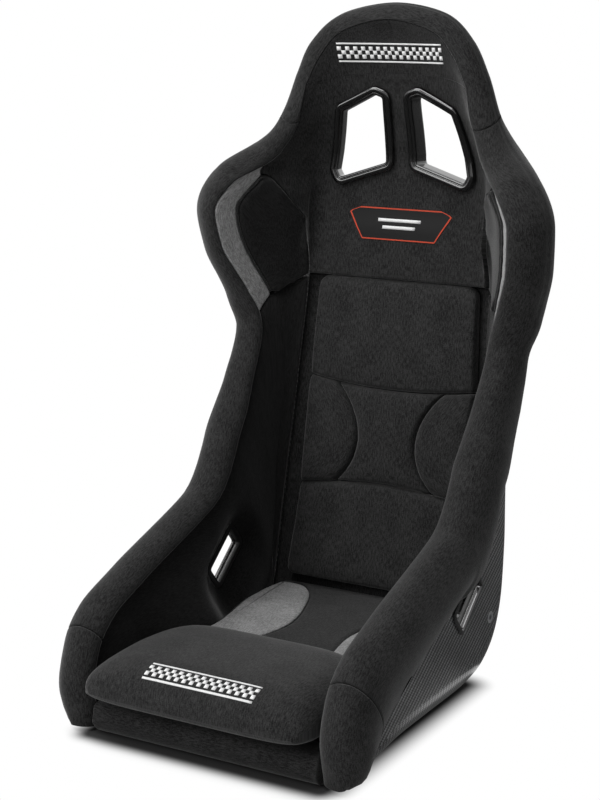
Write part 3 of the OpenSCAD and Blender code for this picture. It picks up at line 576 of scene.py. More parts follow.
# Padded rim: foam of about 25 mm inside and 34 mm outside the shell's edge, under knitted
# cover cloth that is sewn at the inner seam and ends in a hem on the outside. Two front
# bolsters, two side bands and the head band butt at cross seams.
def knit(name, dark, light):
    """Knitted polyester: matt, with short upright streaks, and lighter where it turns away."""
    made, tree, shader = finish(name, dark, 0.95, Specular_IOR_Level=0.08, Sheen_Weight=0.22,
                                Sheen_Roughness=0.4)
    uv = node(tree, "UVMap", uv_map="weave")
    # Streaks of 1.8 mm: the real wales are half of that, and would not show.
    thin = node(tree, "Mapping", {"Vector": uv, "Scale": (560, 130, 1)})
    streaks = node(tree, "TexNoise", {"Vector": thin, "Scale": 1.0, "Detail": 3.0,
                                      "Roughness": 0.65})
    loops = node(tree, "TexNoise", {"Vector": uv, "Scale": 700.0, "Detail": 1.0})
    cloud = node(tree, "TexNoise", {"Vector": uv, "Scale": 30.0, "Detail": 4.0})
    sum1 = node(tree, "Math", {0: loops, 1: 0.5, 2: streaks}, operation="MULTIPLY_ADD")
    sum2 = node(tree, "Math", {0: cloud, 1: 0.3, 2: sum1}, operation="MULTIPLY_ADD")
    level = node(tree, "MapRange", {0: sum2, 1: 0.73, 2: 1.07})
    tone = node(tree, "Mix", {0: level, 6: hexa(dark), 7: hexa(light)}, data_type="RGBA")
    tree.links.new(tone.outputs[2], shader.inputs["Base Color"])
    bump = node(tree, "Bump", {"Height": sum1, "Strength": 0.4, "Distance": 0.0007})
    tree.links.new(bump.outputs[0], shader.inputs["Normal"])
    return made


bolster_cloth = knit("knitted cover, bolsters", "151515", "343434")

RIM_IN = 25
BOLSTER_V, HEAD_V = 2.4, 18
SIDES = ((1, "right"), (-1, "left"))
# Points round the roll's inner half, round its outer half and from there to the hem.
ROLL_IN, ROLL_OUT, TO_HEM = 15, 18, 10


def hem(v):
    """Distance from the crest to the hem outside."""
    free = wall_width(v) * np.interp(v, [13, 15], [0.98, 3])
    return np.minimum(section(v)[..., 9], free)


def rolled(d, r):
    """How far a surface has dropped at a distance d from its edge, rolled with radius r."""
    return r - np.sqrt(np.maximum(r ** 2 - np.maximum(r - d, 0) ** 2, 0))


def sheet_normals(points):
    return unit(np.cross(np.gradient(points, axis=1), np.gradient(points, axis=0)))


def rim(v0, v1, m):
    """One length of the padded rim, from its seam round to its hem, with open ends."""
    v = np.minimum(lerp(v0, v1, spread(m, k=0.6)), TOP - 1e-4)
    # The outer padding thins towards the floor.
    full = np.interp(v, [0, 0.15, 0.4, 0.8, 1.4], [0.32, 0.62, 0.82, 0.94, 1])
    t, h, s = SHELL_T + section(v)[:, 8] * full, hem(v), seam(v)
    deep = np.interp(v, [9, 12, 16, 18], [RIM_IN, RIM_IN - 9, RIM_IN - 9, 12])
    b = np.minimum(46, h * 0.5)
    c, w = 4, -SHELL_T - LINING
    across = []
    for k in np.linspace(0, 1, ROLL_IN):
        a = lerp(tucked(v), np.pi / 2, k)
        across.append((s * (1 - np.sin(a)), -c + (deep + c) * np.cos(a)))
    first = across[0]
    for a in np.radians(np.linspace(90, 0, ROLL_OUT + 1))[1:]:
        across.append((b * (1 - np.sin(a)), -c - (t - c) * np.cos(a)))
    for k in np.linspace(0, 1, TO_HEM + 1)[1:]:
        across.append((lerp(b, h, k), -t + (t - SHELL_T - 4) * (1 - np.cos(np.pi / 2 * k))))
    across.append((h, 0 * h + w))
    for k in np.linspace(1, 0, 7)[1:]:
        across.append((lerp(first[0], h, k), 0 * h + w))
    for k in (0.35, 0.7, 1.0):
        across.append((first[0] + 0 * h, lerp(w, first[1], k)))
    d = np.array([p[0] for p in across]).T
    deep = np.array([p[1] for p in across]).T
    V = np.repeat(v[:, None], d.shape[1], 1)
    points = at(below(d, V), V, deep)
    # A seam runs where the top turns over to the outside, and the cross seams are tucked in.
    visible, top_seam = ROLL_IN + ROLL_OUT + TO_HEM, ROLL_IN + ROLL_OUT // 2
    skin = points[:, :visible]
    run = lengths(skin, 1)
    groove = np.exp(-((run - run[:, top_seam:top_seam + 1]) / 2.2) ** 2)
    along = lengths(skin, 0)[:, 20:21]
    ends = along if v1 >= TOP else np.minimum(along, along[-1:] - along)
    drop = (groove + rolled(ends, 1.8)) * np.clip((visible - 1 - np.arange(visible)) / 5, 0, 1)
    points[:, :visible] -= sheet_normals(skin) * drop[..., None]
    points[:, -1] = points[:, 0]
    if v1 >= TOP:
        points[-1, :, 0] = 0
    bm = laid(points)
    weld(bm)
    return bm


def spread(n, half=False, k=0.75):
    """n + 1 fractions from 0 to 1, closer together towards the rolled edges."""
    t = np.linspace(0.5 if half else 0, 1, n + 1)
    t = t - k * np.sin(2 * np.pi * t) / (2 * np.pi)
    return 2 * t - 1 if half else t


def closed_ends(bm):
    rims = [e for e in bm.edges if e.is_boundary]
    bmesh.ops.holes_fill(bm, edges=rims, sides=0)
    bmesh.ops.recalc_face_normals(bm, faces=bm.faces[:])


def cover(word, bm, cloth, slot, fill, *ways, body="seat", **more):
    """The padded cover of the CAD node of that name, with the ways cut through it."""
    obj = piece(word + "_cover", bm, cloth, body, slot, word, **more)
    if ways:
        carve(obj, *ways)
    return obj


for side, word in SIDES:
    mount = [mount_way(15.5, MOUNTS_Y[0], 196, 290, side)]
    belt = [through_side(9, 196, 290, side)]
    for part, v0, v1, m, ways in (("front_bolster", 0, BOLSTER_V - 0.02, 44, mount),
                                  ("side_band", BOLSTER_V, HEAD_V - 1, 230, mount + belt)):
        bm = rim(v0, v1, m)
        closed_ends(bm)
        cover(f"{part}_{word}", bm, bolster_cloth, "bolster_fabric", 0.9, *ways, side=side)
bm = rim(HEAD_V - 0.98, TOP, 76)
rims = [e for e in bm.edges if e.is_boundary and all(abs(p.co.x) > 1e-6 for p in e.verts)]
bmesh.ops.holes_fill(bm, edges=rims, sides=0)
mirrored(bm)
bmesh.ops.recalc_face_normals(bm, faces=bm.faces[:])
cover("head_band", bm, bolster_cloth, "bolster_fabric", 0.9)


# Padded panels: cut foam on the shell's inner face under the same knit, each with its edges
# rolled into the seams, where the cloth gathers a little.
panel_cloth = knit("knitted cover, panels", "141414", "333333")
# The sides' copy of the knit is darker than the panels': painted shade, on the side panels and the shoulder
# wings.
shaded_side_cloth = knit("knitted cover, sides", "101010", "262626")
grey_cloth = knit("knitted cover, grey", "666666", "989898")
CUSHION_V, CUSHION_TOP_V, BACK_U = 8.17, 12.45, 3.2


def gather(along, d):
    """Small puckers along a seam at distance d, which die out within a few millimetres."""
    pitch = 17.0
    wave = np.sin(2 * np.pi * along / pitch) * np.sin(2 * np.pi * along / (pitch * 2.7) + 1)
    return 0.5 * wave * np.exp(-d / 9)


def padding(where, height, m, n, roll=6.0, half=False, low=GAP, top_roll=True):
    """A pad on the shell's face: where gives u and v of each fraction along and across."""
    T, S = np.meshgrid(spread(m), spread(n, half), indexing="ij")
    U, V = where(T, S)
    foot = face(U, V)
    out = normal(U, V)
    across, along = lengths(foot, 1), lengths(foot, 0)
    tall = height(T, S, U, V) + 0 * U
    for d, other, used in ((across[:, -1:] - across, along, True), (across, along, not half),
                           (along, across, True), (along[-1:] - along, across, top_roll)):
        if used:
            tall = tall - rolled(d, roll) + gather(other, d)
    tall = np.maximum(tall, low + 1.5)
    top = foot + out * tall[..., None]
    bottom = foot + out * (low + 0 * tall)[..., None]
    if half:
        top[:, 0, 0] = bottom[:, 0, 0] = 0
    bm = laid(top)
    thicken(bm, bottom, half)
    return bm


def crown(t, edge):
    """Height of a crowned pad as a share of its middle's: t is 0 to 1 from edge to edge."""
    return edge + (1 - edge) * (1 - np.abs(2 * t - 1) ** 4)


# Side panels, from the floor's corner up to the rim, thicker at the foot beside the seat.
SIDE_T, FOOT_T = 22, 34
LAP_LIP, LAP_T = 9, 4.5


def side_low(v):
    return lerp(5.9, BACK_U + 0.07, np.clip((v - 5) / 2, 0, 1))


def foot(v):
    return FOOT_T * np.interp(v, [3.5, 4.5, 5, 6, 7, 8.5], [0, 1, 0.75, 0.42, 0.32, 0])


def eased(v, x, y):
    """A smooth line through the points of a table: the straight one, averaged over a short way."""
    return np.mean([np.interp(v + o, x, y) for o in np.linspace(-0.26, 0.26, 11)], axis=0)


def under_wing(v):
    return np.interp(v, [11.8, 12, 12.25, 12.45], [6.92, 6.68, 6.05, BACK_U])


def beside(u, v, d):
    """Place across at a distance d from u, towards the rim."""
    return u + 0.2 * d / np.linalg.norm(at(u + 0.1, v) - at(u - 0.1, v), axis=-1)


# The stripe's ends are cut aslant: each runs from an inner to an outer station.
LOW_IN, LOW_OUT, TOP_IN, TOP_OUT = 12.0, 11.42, 15.1, 15.68
WING_T, CORNER_FILL = 24, 12


def stripe_in(v):
    return eased(v, [11.9, 12.45, 13, 13.35, 13.9, 14.4, 15.2], [6.66, 7.08, 7.25, 7.35, 7.4, 7.4, 7.12])


def stripe_t(v):
    return np.interp(v, [14.6, 15.4], [17, 13])


def side_top(v):
    cut = lerp(edge(v), stripe_in(v), np.clip((v + 0.02 - LOW_OUT) / (LOW_IN - LOW_OUT), 0, 1))
    return np.where(v < LOW_IN - 0.06, cut, beside(under_wing(v + 0.04), v, -1.5))


def side_where(T, S):
    V = 12.36 * T
    return lerp(side_low(V), side_top(V), S), V


def outside_of(outline, x, y):
    """Distance from the outline to each point, negative inside it."""
    p, a, b = np.stack([x, y], -1)[..., None, :], outline, np.roll(outline, -1, 0)
    t = np.clip(((p - a) * (b - a)).sum(-1) / np.maximum(((b - a) ** 2).sum(-1), 1e-9), 0, 1)
    near = np.linalg.norm(p - a - (b - a) * t[..., None], axis=-1).min(-1)
    spans = (a[:, 1] > p[..., 1]) != (b[:, 1] > p[..., 1])
    rise = np.where(a[:, 1] == b[:, 1], 1, b[:, 1] - a[:, 1])
    hits = spans & (p[..., 0] < a[:, 0] + (b[:, 0] - a[:, 0]) * (p[..., 1] - a[:, 1]) / rise)
    return near * np.where(hits.sum(-1) % 2, -1, 1)


def side_height(T, S, U, V):
    swell = np.interp(S, np.arange(7) / 6, [1, 1, 1, 0.55, 0.22, 0.05, 0])
    full = SIDE_T * crown((1 + S) / 2, 0.75) + foot(V) * swell
    # Round the lap belt slot the foam is cut back in a soft hollow, so that a belt lies straight.
    place = face(U, V)
    away = np.maximum(outside_of(LAP, place[..., 1], place[..., 2]) - LAP_LIP, 0)
    slot = LAP_T + away * 0.42 + away ** 2 * 0.008
    return full - np.log1p(np.exp(np.clip((full - slot) / LAP_T, -40, 40))) * LAP_T


for side, word in SIDES:
    bm = padding(side_where, side_height, 190, 60, roll=5.0)
    ways = [through_side(BACK, 120, 205, side), through_side(LAP_LIP, 80, 190.6, side)]
    ways += [mount_way(9, y, 181, 210, side) for y in MOUNTS_Y]
    cover(f"side_panel_{word}", bm, shaded_side_cloth, "panel_fabric", 0.85, *ways, side=side)


# Shoulder wings: a pad in each corner of the back, in black knit painted darker still with shade, with a
# grey stripe between it and the rim's seam. The stripe is cut aslant at both ends, and a thin piping runs
# beside it.
def shoulder(v):
    return eased(v, [12.5, 12.8, 13.2, 13.6, 14.24, 14.7, 15.1, 15.3],
                 [BACK_U, BACK_U + 0.2, 4.6, 5.9, 6.3, 6.62, 7.0, 7.25])


def fill(v):
    return CORNER_FILL * np.interp(v, [12.6, 13.2, 14.6, 15.1], [0, 1, 1, 0])


def stripe_where(T, S):
    V = lerp(lerp(LOW_IN, LOW_OUT, S), lerp(TOP_IN, TOP_OUT, S), T)
    return lerp(beside(stripe_in(V), V, GAP), edge(V), S), V


def wing_where(T, S):
    V = lerp(12.07, 15.0, T)
    low = beside(np.where(V < 12.45, under_wing(V), shoulder(V)), V, 1.2)
    return lerp(low, np.maximum(beside(stripe_in(V), V, -2.5), low + 0.02), S), V


def stripe_height(T, S, U, V):
    return stripe_t(V) * crown(S, 0.96)


def wing_height(T, S, U, V):
    return WING_T * crown(S, 0.85) + fill(V) * (1 - S) ** 2.5


PIPING_R, PIPING_W = 2.2, 17.5
for side, word in SIDES:
    bm = padding(stripe_where, stripe_height, 90, 14, roll=2.0)
    cover(f"wing_stripe_{word}", bm, grey_cloth, "grey_fabric", 0.9, side=side)
    bm = padding(wing_where, wing_height, 80, 44, roll=4.5)
    cover(f"wing_pad_{word}", bm, shaded_side_cloth, "panel_fabric", 0.85, side=side)
    v = np.linspace(12.06, 15.06, 90)
    middle, u = at(stripe_in(v), v, PIPING_W + 0 * v), stripe_in(v)
    over, aslant = normal(u, v), unit(at(u + 0.05, v) - at(u - 0.05, v))
    turn = np.linspace(0, 2 * np.pi, 13)[None, :, None]
    bm = laid(middle[:, None] + PIPING_R * (np.cos(turn) * aslant[:, None] + np.sin(turn) * over[:, None]))
    weld(bm)
    closed_ends(bm)
    piece(f"wing_piping_{word}", bm, bolster_cloth, "seat", "panel_fabric", side=side)

# Back panel behind the loose cushion, and the neck panel with the harness openings.
BACK_T, TAPE_T = 10, 1.5


def back_where(T, S):
    return BACK_U * S, lerp(7.5, CUSHION_TOP_V, T)


def back_height(T, S, U, V):
    return BACK_T * crown((1 + S) / 2, 0.75)


bm = padding(back_where, back_height, 70, 40, roll=4.0, half=True)
cover("back_panel", bm, panel_cloth, "panel_fabric", 0.9)


# Thickness of the padding where it meets the head band.
THIN = 6.3


def neck_t(v):
    return np.interp(v, [13.5, 15.5], [28, 12])


def smooth(t):
    t = np.clip(t, 0, 1)
    return t * t * (3 - 2 * t)


def neck_where(T, S):
    V = lerp(CUSHION_TOP_V + 0.02, HEAD_V - 0.005, T)
    cut = lerp(stripe_in(V), edge(V), np.clip((V - 0.015 - TOP_IN) / (TOP_OUT - TOP_IN), 0, 1))
    out = np.where(V > TOP_IN, cut, np.minimum(shoulder(V), cut))
    return S * out, V


def neck_height(T, S, U, V):
    return lerp(neck_t(V), THIN, smooth(V - 17) * S ** 6) + fill(V) * S ** 6


bm = padding(neck_where, neck_height, 140, 50, roll=3.0, half=True, top_roll=False)
neck = cover("neck_panel", bm, panel_cloth, "panel_fabric", 0.85, *through_neck())

# Head pad: a block of soft foam inside the head band, glued on above the neck panel. It starts
# level with the panel and is fullest in its upper half.
HEAD_T, BACK_H = 33, 910
head_cloth = knit("knitted cover, head pad", "151515", "343434")


def head_face(V, S):
    """Front of the pad at station V and fraction S across."""
    k = (V - HEAD_V) / (TOP - HEAD_V)
    a = np.stack([0 * k, section(HEAD_V)[0] - HEAD_T + 8 * k, lerp(BACK_H - 82, BACK_H - 26, k)], -1)
    b = at(edge(V), V, THIN)
    full = np.stack([b[..., 0] * S, lerp(a[..., 1], b[..., 1], S ** 2.5),
                     lerp(a[..., 2], b[..., 2], S)], -1)
    return lerp(at(edge(V) * S, V, lerp(12, THIN, S ** 6)), full, smooth(k / 0.95)[..., None])


V, S = np.meshgrid(lerp(HEAD_V, TOP - 1e-3, spread(44, k=0.5)), spread(40, True), indexing="ij")
front, rear = head_face(V, S), at(edge(V) * S, V, GAP + 0 * V)
out = lengths(front, 1)
front[..., 1] += rolled(out[:, -1:] - out, 1.5)
front[-1, :, 0] = rear[-1, :, 0] = front[:, 0, 0] = rear[:, 0, 0] = 0
bm = laid(front)
thicken(bm, rear, True)
cover("head_pad", bm, head_cloth, "panel_fabric", 0.85)


# Seat: a firm pad between the side panels, with two grey inlays, a lower pad in front of it
# under the thigh cushion, and the padded roll over the front edge of the floor.
SEAT_H = 82


def surface(obj):
    """The finished surface of a piece, for what is fitted to it or laid on it."""
    faces = [f.vertices[:] for f in obj.data.polygons]
    return BVHTree.FromPolygons([p.co for p in obj.data.vertices], faces)


def seat_y(v):
    """Where the seat's surface meets the section at station v."""
    s = section(v)
    rake = (SEAT_H - SHELL_T) * (s[..., 2] - s[..., 0]) / (s[..., 3] - s[..., 1])
    return s[..., 0] + lerp(rake, -5, np.clip((v - 5) / 2, 0, 1))


# The seat is as wide as the side panels leave room for, at three heights, with its outline
# smoothed over 21 stations 5 mm apart.
flank, outwards = surface(bpy.data.objects["side_panel_right_cover"]), Vector((1, 0, 0))
stations = np.linspace(-110, 190, 61)
hits = [[flank.ray_cast(Vector((0, y / 1000, z)), outwards)[0] for z in (0.062, 0.072, 0.081)]
        for y in stations]
sides = np.array([min(h.x * 1000 if h else 150 for h in three) for three in hits]) - 0.8
sides = np.convolve(np.pad(sides, 10, mode="edge"), np.ones(21) / 21, "valid")


def seat_side(v):
    """Half-width of the seat between the side panels."""
    return np.interp(seat_y(v), stations, sides)


def softened(section, times=2):
    """The closed section with its corners cut, twice over."""
    s = np.array(section, float)
    for _ in range(times):
        after = np.roll(s, -1, 0)
        s = np.stack([lerp(s, after, 0.25), lerp(s, after, 0.75)], 1).reshape(-1, 2)
    return s


# The grey inlays lie along the sides of the seat in a groove, and are widest in the middle.
GROOVE = 3.4
line = np.linspace(7.2, 4.3, 14)
LEAF = softened(np.vstack([np.stack([seat_side(line) - 4, seat_y(line)], -1), [
    (66, -80), (55, -38), (47, 8), (52, 45), (62, 79), (83, 134), (102, 160), (122, 173)]]))
V, S = np.meshgrid(lerp(4.24, 7.7, spread(130)), spread(90, True), indexing="ij")
top = np.stack([seat_side(V) * S, seat_y(V), SEAT_H - 4 * S ** 12], -1)
ends = np.minimum(lengths(top, 0), lengths(top, 0)[-1:] - lengths(top, 0))
top[..., 2] -= rolled(ends, 7)
away = outside_of(LEAF, top[..., 0], top[..., 1])
top[..., 2] -= np.where(away < 0, GROOVE, GROOVE * np.exp(-(away / 2.2) ** 2))
bm = laid(top)
thicken(bm, top * [1, 1, 0] + [0, 0, 60], True)
seat_cloth = knit("knitted cover, seat", "181818", "343434")
cover("seat_pad", bm, seat_cloth, "panel_fabric", 0.8)

for side, word in SIDES:
    bm = bmesh.new()
    rim_line = dense(grown(LEAF, -1), 4)
    top = bm.faces.new([bm.verts.new((x / 1000, y / 1000, (SEAT_H - 1.6) / 1000)) for x, y in rim_line])
    made = bmesh.ops.extrude_face_region(bm, geom=[top], use_keep_orig=True)["geom"]
    lower = [g for g in made if isinstance(g, bmesh.types.BMVert)]
    bmesh.ops.translate(bm, vec=(0, 0, -0.0016), verts=lower)
    # The edge rolls up to a crown in three steps.
    for wide, high in ((0.0008, 0.001), (0.0018, 0.0008), (0.005, 0.0005)):
        bmesh.ops.inset_region(bm, faces=[top], thickness=wide, depth=high, use_even_offset=True)
    bmesh.ops.recalc_face_normals(bm, faces=bm.faces[:])
    map_flat(bm, "xy")
    cover(f"seat_insert_{word}", bm, grey_cloth, "grey_fabric", 1.0, side=side)

# The lower pad under the thigh cushion, a plain block with rounded edges.
FRONT_PAD_H, FRONT_PAD_Y = 48, -238
bm = bmesh.new()
made = bmesh.ops.create_cube(bm, size=1)["verts"]
bmesh.ops.scale(bm, vec=(0.27, 0.15, 0.042), verts=made)
bmesh.ops.translate(bm, vec=(0, (FRONT_PAD_Y - 88) / 2000, 0.027), verts=made)
bmesh.ops.bevel(bm, geom=bm.edges[:], offset=0.006, segments=4, profile=0.5, affect="EDGES", material=-1)
map_flat(bm, "xy")
cover("front_pad", bm, panel_cloth, "panel_fabric", 1.0, through_floor(0, 60), sharp=40)

# The front roll: a section as y and z, swept across, with pleats where its ends are drawn in.
APRON_X, APRON_H = 169, 46
middle = np.array([-262, APRON_H / 2])
a = np.radians(np.linspace(0, 180, 33))
curve = np.stack([middle[0] - 23 * np.sin(a) ** 0.8, middle[1] + (APRON_H / 2 - 1) * np.cos(a)], -1)
rear = FRONT_PAD_Y - GAP
outline = np.vstack([[(rear, 6), (rear, 20), (rear, APRON_H - 5), (-241, APRON_H - 2)], curve,
                     [(-240, 1), (-226, 1), (-226, 5.6)]])
x = lerp(-APRON_X, APRON_X, spread(150, k=0.85))
ends = np.minimum(x + APRON_X, APRON_X - x)
ring = np.vstack([outline, outline[:1]])
around = lengths(ring[None], 1)[0]
pleats = 1.6 * np.exp(-ends / 22)[:, None] * np.sin(around[None] / 3.4 + ends[:, None] / 9)
shrink = 1 - (rolled(ends, 3)[:, None] + pleats * (np.abs(around - 60) < 45)) / 30
flat = middle + (ring - middle)[None] * shrink[..., None]
bm = laid(np.concatenate([np.repeat(x[:, None, None], len(ring), 1), flat], -1))
weld(bm)
closed_ends(bm)
cover("front_apron", bm, bolster_cloth, "panel_fabric", 0.9)


# Trims of the belt openings: mouldings that clamp the cover's cut edge, each a section swept
# round its opening. Those in view are gloss black, with the slightly wavy gleam of moulded
# plastic; the others are dull and finely grained.
gloss, tree, shader = finish("moulded ABS, gloss black", "070707", 0.2, Coat_Weight=0.9, Coat_Roughness=0.05)
place = node(tree, "TexCoord")
orange = node(tree, "TexNoise", {"Vector": place.outputs["Object"], "Scale": 260.0, "Detail": 2.0})
level = node(tree, "MapRange", {0: orange, 3: 0.16, 4: 0.28})
tree.links.new(level.outputs[0], shader.inputs["Roughness"])


def grained(name, colour, roughness, kind, texture, strength, distance, out=0, settings=(), **sockets):
    """A material with the relief of one texture, laid out in the piece's own metres."""
    made, tree, shader = finish(name, colour, roughness, **sockets)
    place = node(tree, "TexCoord")
    relief = node(tree, kind, {"Vector": place.outputs["Object"], **texture}, **dict(settings))
    bump = node(tree, "Bump", {"Height": relief.outputs[out], "Strength": strength, "Distance": distance})
    tree.links.new(bump.outputs[0], shader.inputs["Normal"])
    return made


matte = grained("moulded nylon, spark textured", "0d0d0d", 0.5, "TexNoise",
                {"Scale": 1500.0, "Detail": 1.0}, strength=0.2, distance=0.0002)


def depth(x, z, t, u=0.8, v=16.5):
    """y of the surface t(v) above the shell where it passes x and z."""
    u, v = u + 0 * x, v + 0 * x
    for _ in range(8):
        p, a, b = at(u, v, t(v)), at(u + 0.2, v, t(v)), at(u, v + 0.1, t(v + 0.1))
        u = np.clip(u + 0.2 * (x - p[..., 0]) / (a - p)[..., 0], 0, 7.7)
        v = np.clip(v + 0.1 * (z - p[..., 2]) / (b - p)[..., 2], 13, TOP - 1)
    return at(u, v, t(v))[..., 1]


def hit(q, t):
    """How far behind the middle of the wall the way through q meets the surface t(v)."""
    s = 0 * q[..., 0]
    for _ in range(4):
        p = tunnel(q, s)
        s = s + depth(p[..., 0], p[..., 2], t) - p[..., 1]
    return s


def hoop(outline, section, place):
    """The section swept round a closed outline; place puts a point d out and w forward."""
    path = dense(outline)
    rings = [place(grown(path, d), w) for d, w in section]
    points = np.stack(rings + rings[:1], 1)
    bm = laid(np.concatenate([points, points[:1]], 0))
    weld(bm)
    bmesh.ops.recalc_face_normals(bm, faces=bm.faces[:])
    return bm


def in_neck(q, w):
    return tunnel(q, hit(q, neck_t) - w)


def behind_neck(q, w):
    return tunnel(q, hit(q, lambda v: -SHELL_T + 0 * v) - w)


def in_wall(q, w):
    return np.insert(q, 0, w, axis=1)


def in_floor(q, w):
    return np.insert(q, 2, w, axis=1)


# Sections of the trims, as the distance out from the opening's outline and the depth: in front
# of the surface at the neck, x at the lap slots and z at the crotch slot.
BEZEL_W, WAY, LIP_W, LIP_T = 13, 2.5, 8, 2.5
BEZEL = softened([(-WAY, -18), (-0.3, -18), (-0.3, -8), (-0.3, 0.8), (4, 0.8), (BEZEL_W - WAY, 0.8),
                  (BEZEL_W - WAY, 3), (BEZEL_W - 4, 7), (5, 8.4), (2.6, 8), (1.6, 6), (0.6, 6.4),
                  (-1.2, 6.4), (-WAY, 4.5), (-WAY, -4)])
RING = softened([(GAP, -4), (BEZEL_W - 2, -4), (BEZEL_W - 2, -1), (GAP, -1)])
LAP_INSIDE = softened([(0, 188.5), (2, 188), (LIP_W, 188), (LIP_W, 190.5), (2.5, 190.5),
                       (2.5, WALL_X), (0, WALL_X)], 1)
near, far = WALL_X + GAP, WALL_X + GAP + SHELL_T
LAP_OUTSIDE = softened([(0, near), (2.5, near), (2.5, far), (LIP_W, far), (LIP_W, far + LIP_T),
                        (0, far + LIP_T)], 1)
GROMMET = softened([(0, 0.5), (3, 0.5), (3, 48), (0, 48)], 1)
for side, word in SIDES:
    for name, outline, profile, place, material, slot, sharp in (
            ("harness_bezel", HARNESS, BEZEL, in_neck, gloss, "gloss_trim", 60),
            ("harness_ring", HARNESS, RING, behind_neck, matte, "matte_trim", 60),
            ("lap_trim", LAP, LAP_INSIDE, in_wall, matte, "matte_trim", 40),
            ("lap_bezel", LAP, LAP_OUTSIDE, in_wall, gloss, "gloss_trim", 40)):
        name = f"{name}_{word}"
        bm = hoop(outline, profile, place)
        piece(name + "_trim", bm, material, "seat", slot, name, side=side, sharp=sharp)
bm = hoop(CROTCH, GROMMET, in_floor)
piece("crotch_grommet_trim", bm, matte, "seat", "matte_trim", "crotch_grommet", sharp=40)


# Marks: a chequered band in white flock pressed on to the head pad and the thigh cushion, dull
# and a little furry, and a woven label with a ribbed orange border sewn on to the neck.
flock, tree, shader = finish("white flock transfer", "e6e6e6", 0.9, Specular_IOR_Level=0.2)
place = node(tree, "TexCoord")
fibres = node(tree, "TexNoise", {"Vector": place.outputs["Object"], "Scale": 900.0, "Detail": 2.0})
tone = node(tree, "Mix", {0: fibres, 6: hexa("cfcfcf"), 7: hexa("f4f4f4")}, data_type="RGBA")
tree.links.new(tone.outputs[2], shader.inputs["Base Color"])
label = grained("woven label, black satin", "060606", 0.6, "TexWave", {"Scale": 260.0},
                strength=0.3, distance=0.0002, out="Fac", settings={"bands_direction": "Z"},
                Specular_IOR_Level=0.2)
border = grained("woven label, orange thread", "b8452f", 0.7, "TexWave", {"Scale": 300.0},
                 strength=0.4, distance=0.0002, out="Fac", settings={"bands_direction": "X"},
                 Specular_IOR_Level=0.2)
MARK_T = 0.0007


def drape(bm, obj, way):
    """Lays a flat thin piece on a finished one, moving each point along the direction way."""
    below_it, way = surface(obj), Vector(way)
    for p in bm.verts:
        lift = p.co.dot(way)
        p.co = below_it.ray_cast(p.co - way * (lift + 2), way)[0] + way * lift


def chequers(turn, centre):
    """Flat squares between two lines, turned about x and moved into place."""
    columns, rows, size = 29, 3, 0.0056
    bm = bmesh.new()
    bmesh.ops.create_grid(bm, x_segments=columns, y_segments=rows, size=0.5)
    bmesh.ops.scale(bm, vec=(columns * size, rows * size, 1), verts=bm.verts[:])
    middles = [(f, f.calc_center_median() / size) for f in bm.faces]
    lost = [f for f, c in middles
            if (math.floor(c.x + columns / 2) + math.floor(c.y + rows / 2)) % 2]
    bmesh.ops.delete(bm, geom=lost, context="FACES")
    bmesh.ops.split_edges(bm, edges=bm.edges[:])
    for y in (-1, 1):
        made = bmesh.ops.create_grid(bm, x_segments=columns, y_segments=1, size=0.5)["verts"]
        bmesh.ops.scale(bm, vec=(columns * size, 0.0022, 1), verts=made)
        bmesh.ops.translate(bm, vec=(0, y * (rows * size / 2 + 0.004), 0), verts=made)
    bmesh.ops.solidify(bm, geom=bm.faces[:], thickness=-MARK_T)
    bmesh.ops.rotate(bm, cent=(0, 0, 0), matrix=Matrix.Rotation(turn, 3, "X"), verts=bm.verts[:])
    bmesh.ops.translate(bm, vec=centre, verts=bm.verts[:])
    return bm


head_cover = bpy.data.objects["head_pad_cover"]
bm = chequers(math.pi / 2, (0, 0, 0.862))
drape(bm, head_cover, (0, 1, 0))
piece("head_pad_chequers", bm, flock, "seat", "grey_fabric")

# The label is widest a little below its top edge. Its rows and columns lie closer together at
# the border, whose faces have a material of their own.
LABEL_Z = 598
rise = np.array([0, 0.4, 1.7, 8, 16, 24, 32, 37, 39.5, 43.3, 44.6, 45])
half = np.interp(rise, [0, 38, 45], [58, 82, 64])
away = np.array([0, 10, 20, 30, 40, 50, 56.2, 57.6, 57.9]) / 57.9
away = np.concatenate([-away[:0:-1], away])
X = half[:, None] * away
X = np.where(np.abs(away) < 0.97, X * (half[:, None] - 0.4) / half[:, None], X)
points = np.stack([X, 0 * X - 1, LABEL_Z + rise[:, None] + 0 * X], -1)
bm = grid(len(rise) - 1, len(away) - 1)
lay(bm, points)
edge_row, edge_column = bm.verts.layers.int["row"], bm.verts.layers.int["column"]
for f in bm.faces:
    i, j = min(p[edge_row] for p in f.verts), min(p[edge_column] for p in f.verts)
    f.material_index = int(i < 2 or i > len(rise) - 4 or j < 2 or j > len(away) - 4)
thicken(bm, points * [1, 0, 1], False)
drape(bm, neck, (0, 1, 0))
obj = piece("neck_label", bm, label, "seat", "grey_fabric", sharp=40)
obj.data.materials.append(border)
for k, (wide, z) in enumerate(((68, 626), (52, 616))):
    bm = bmesh.new()
    bmesh.ops.create_grid(bm, x_segments=8, y_segments=1, size=0.5)
    bmesh.ops.scale(bm, vec=(wide / 1000, 0.0044, 1), verts=bm.verts[:])
    bmesh.ops.solidify(bm, geom=bm.faces[:], thickness=-2 * MARK_T)
    bmesh.ops.rotate(bm, cent=(0, 0, 0), matrix=Matrix.Rotation(math.pi / 2, 3, "X"), verts=bm.verts[:])
    bmesh.ops.translate(bm, vec=(0, 0, z / 1000), verts=bm.verts[:])
    drape(bm, neck, (0, 1, 0))
    piece(f"neck_label_bar_{k + 1}", bm, flock, "seat", "grey_fabric")


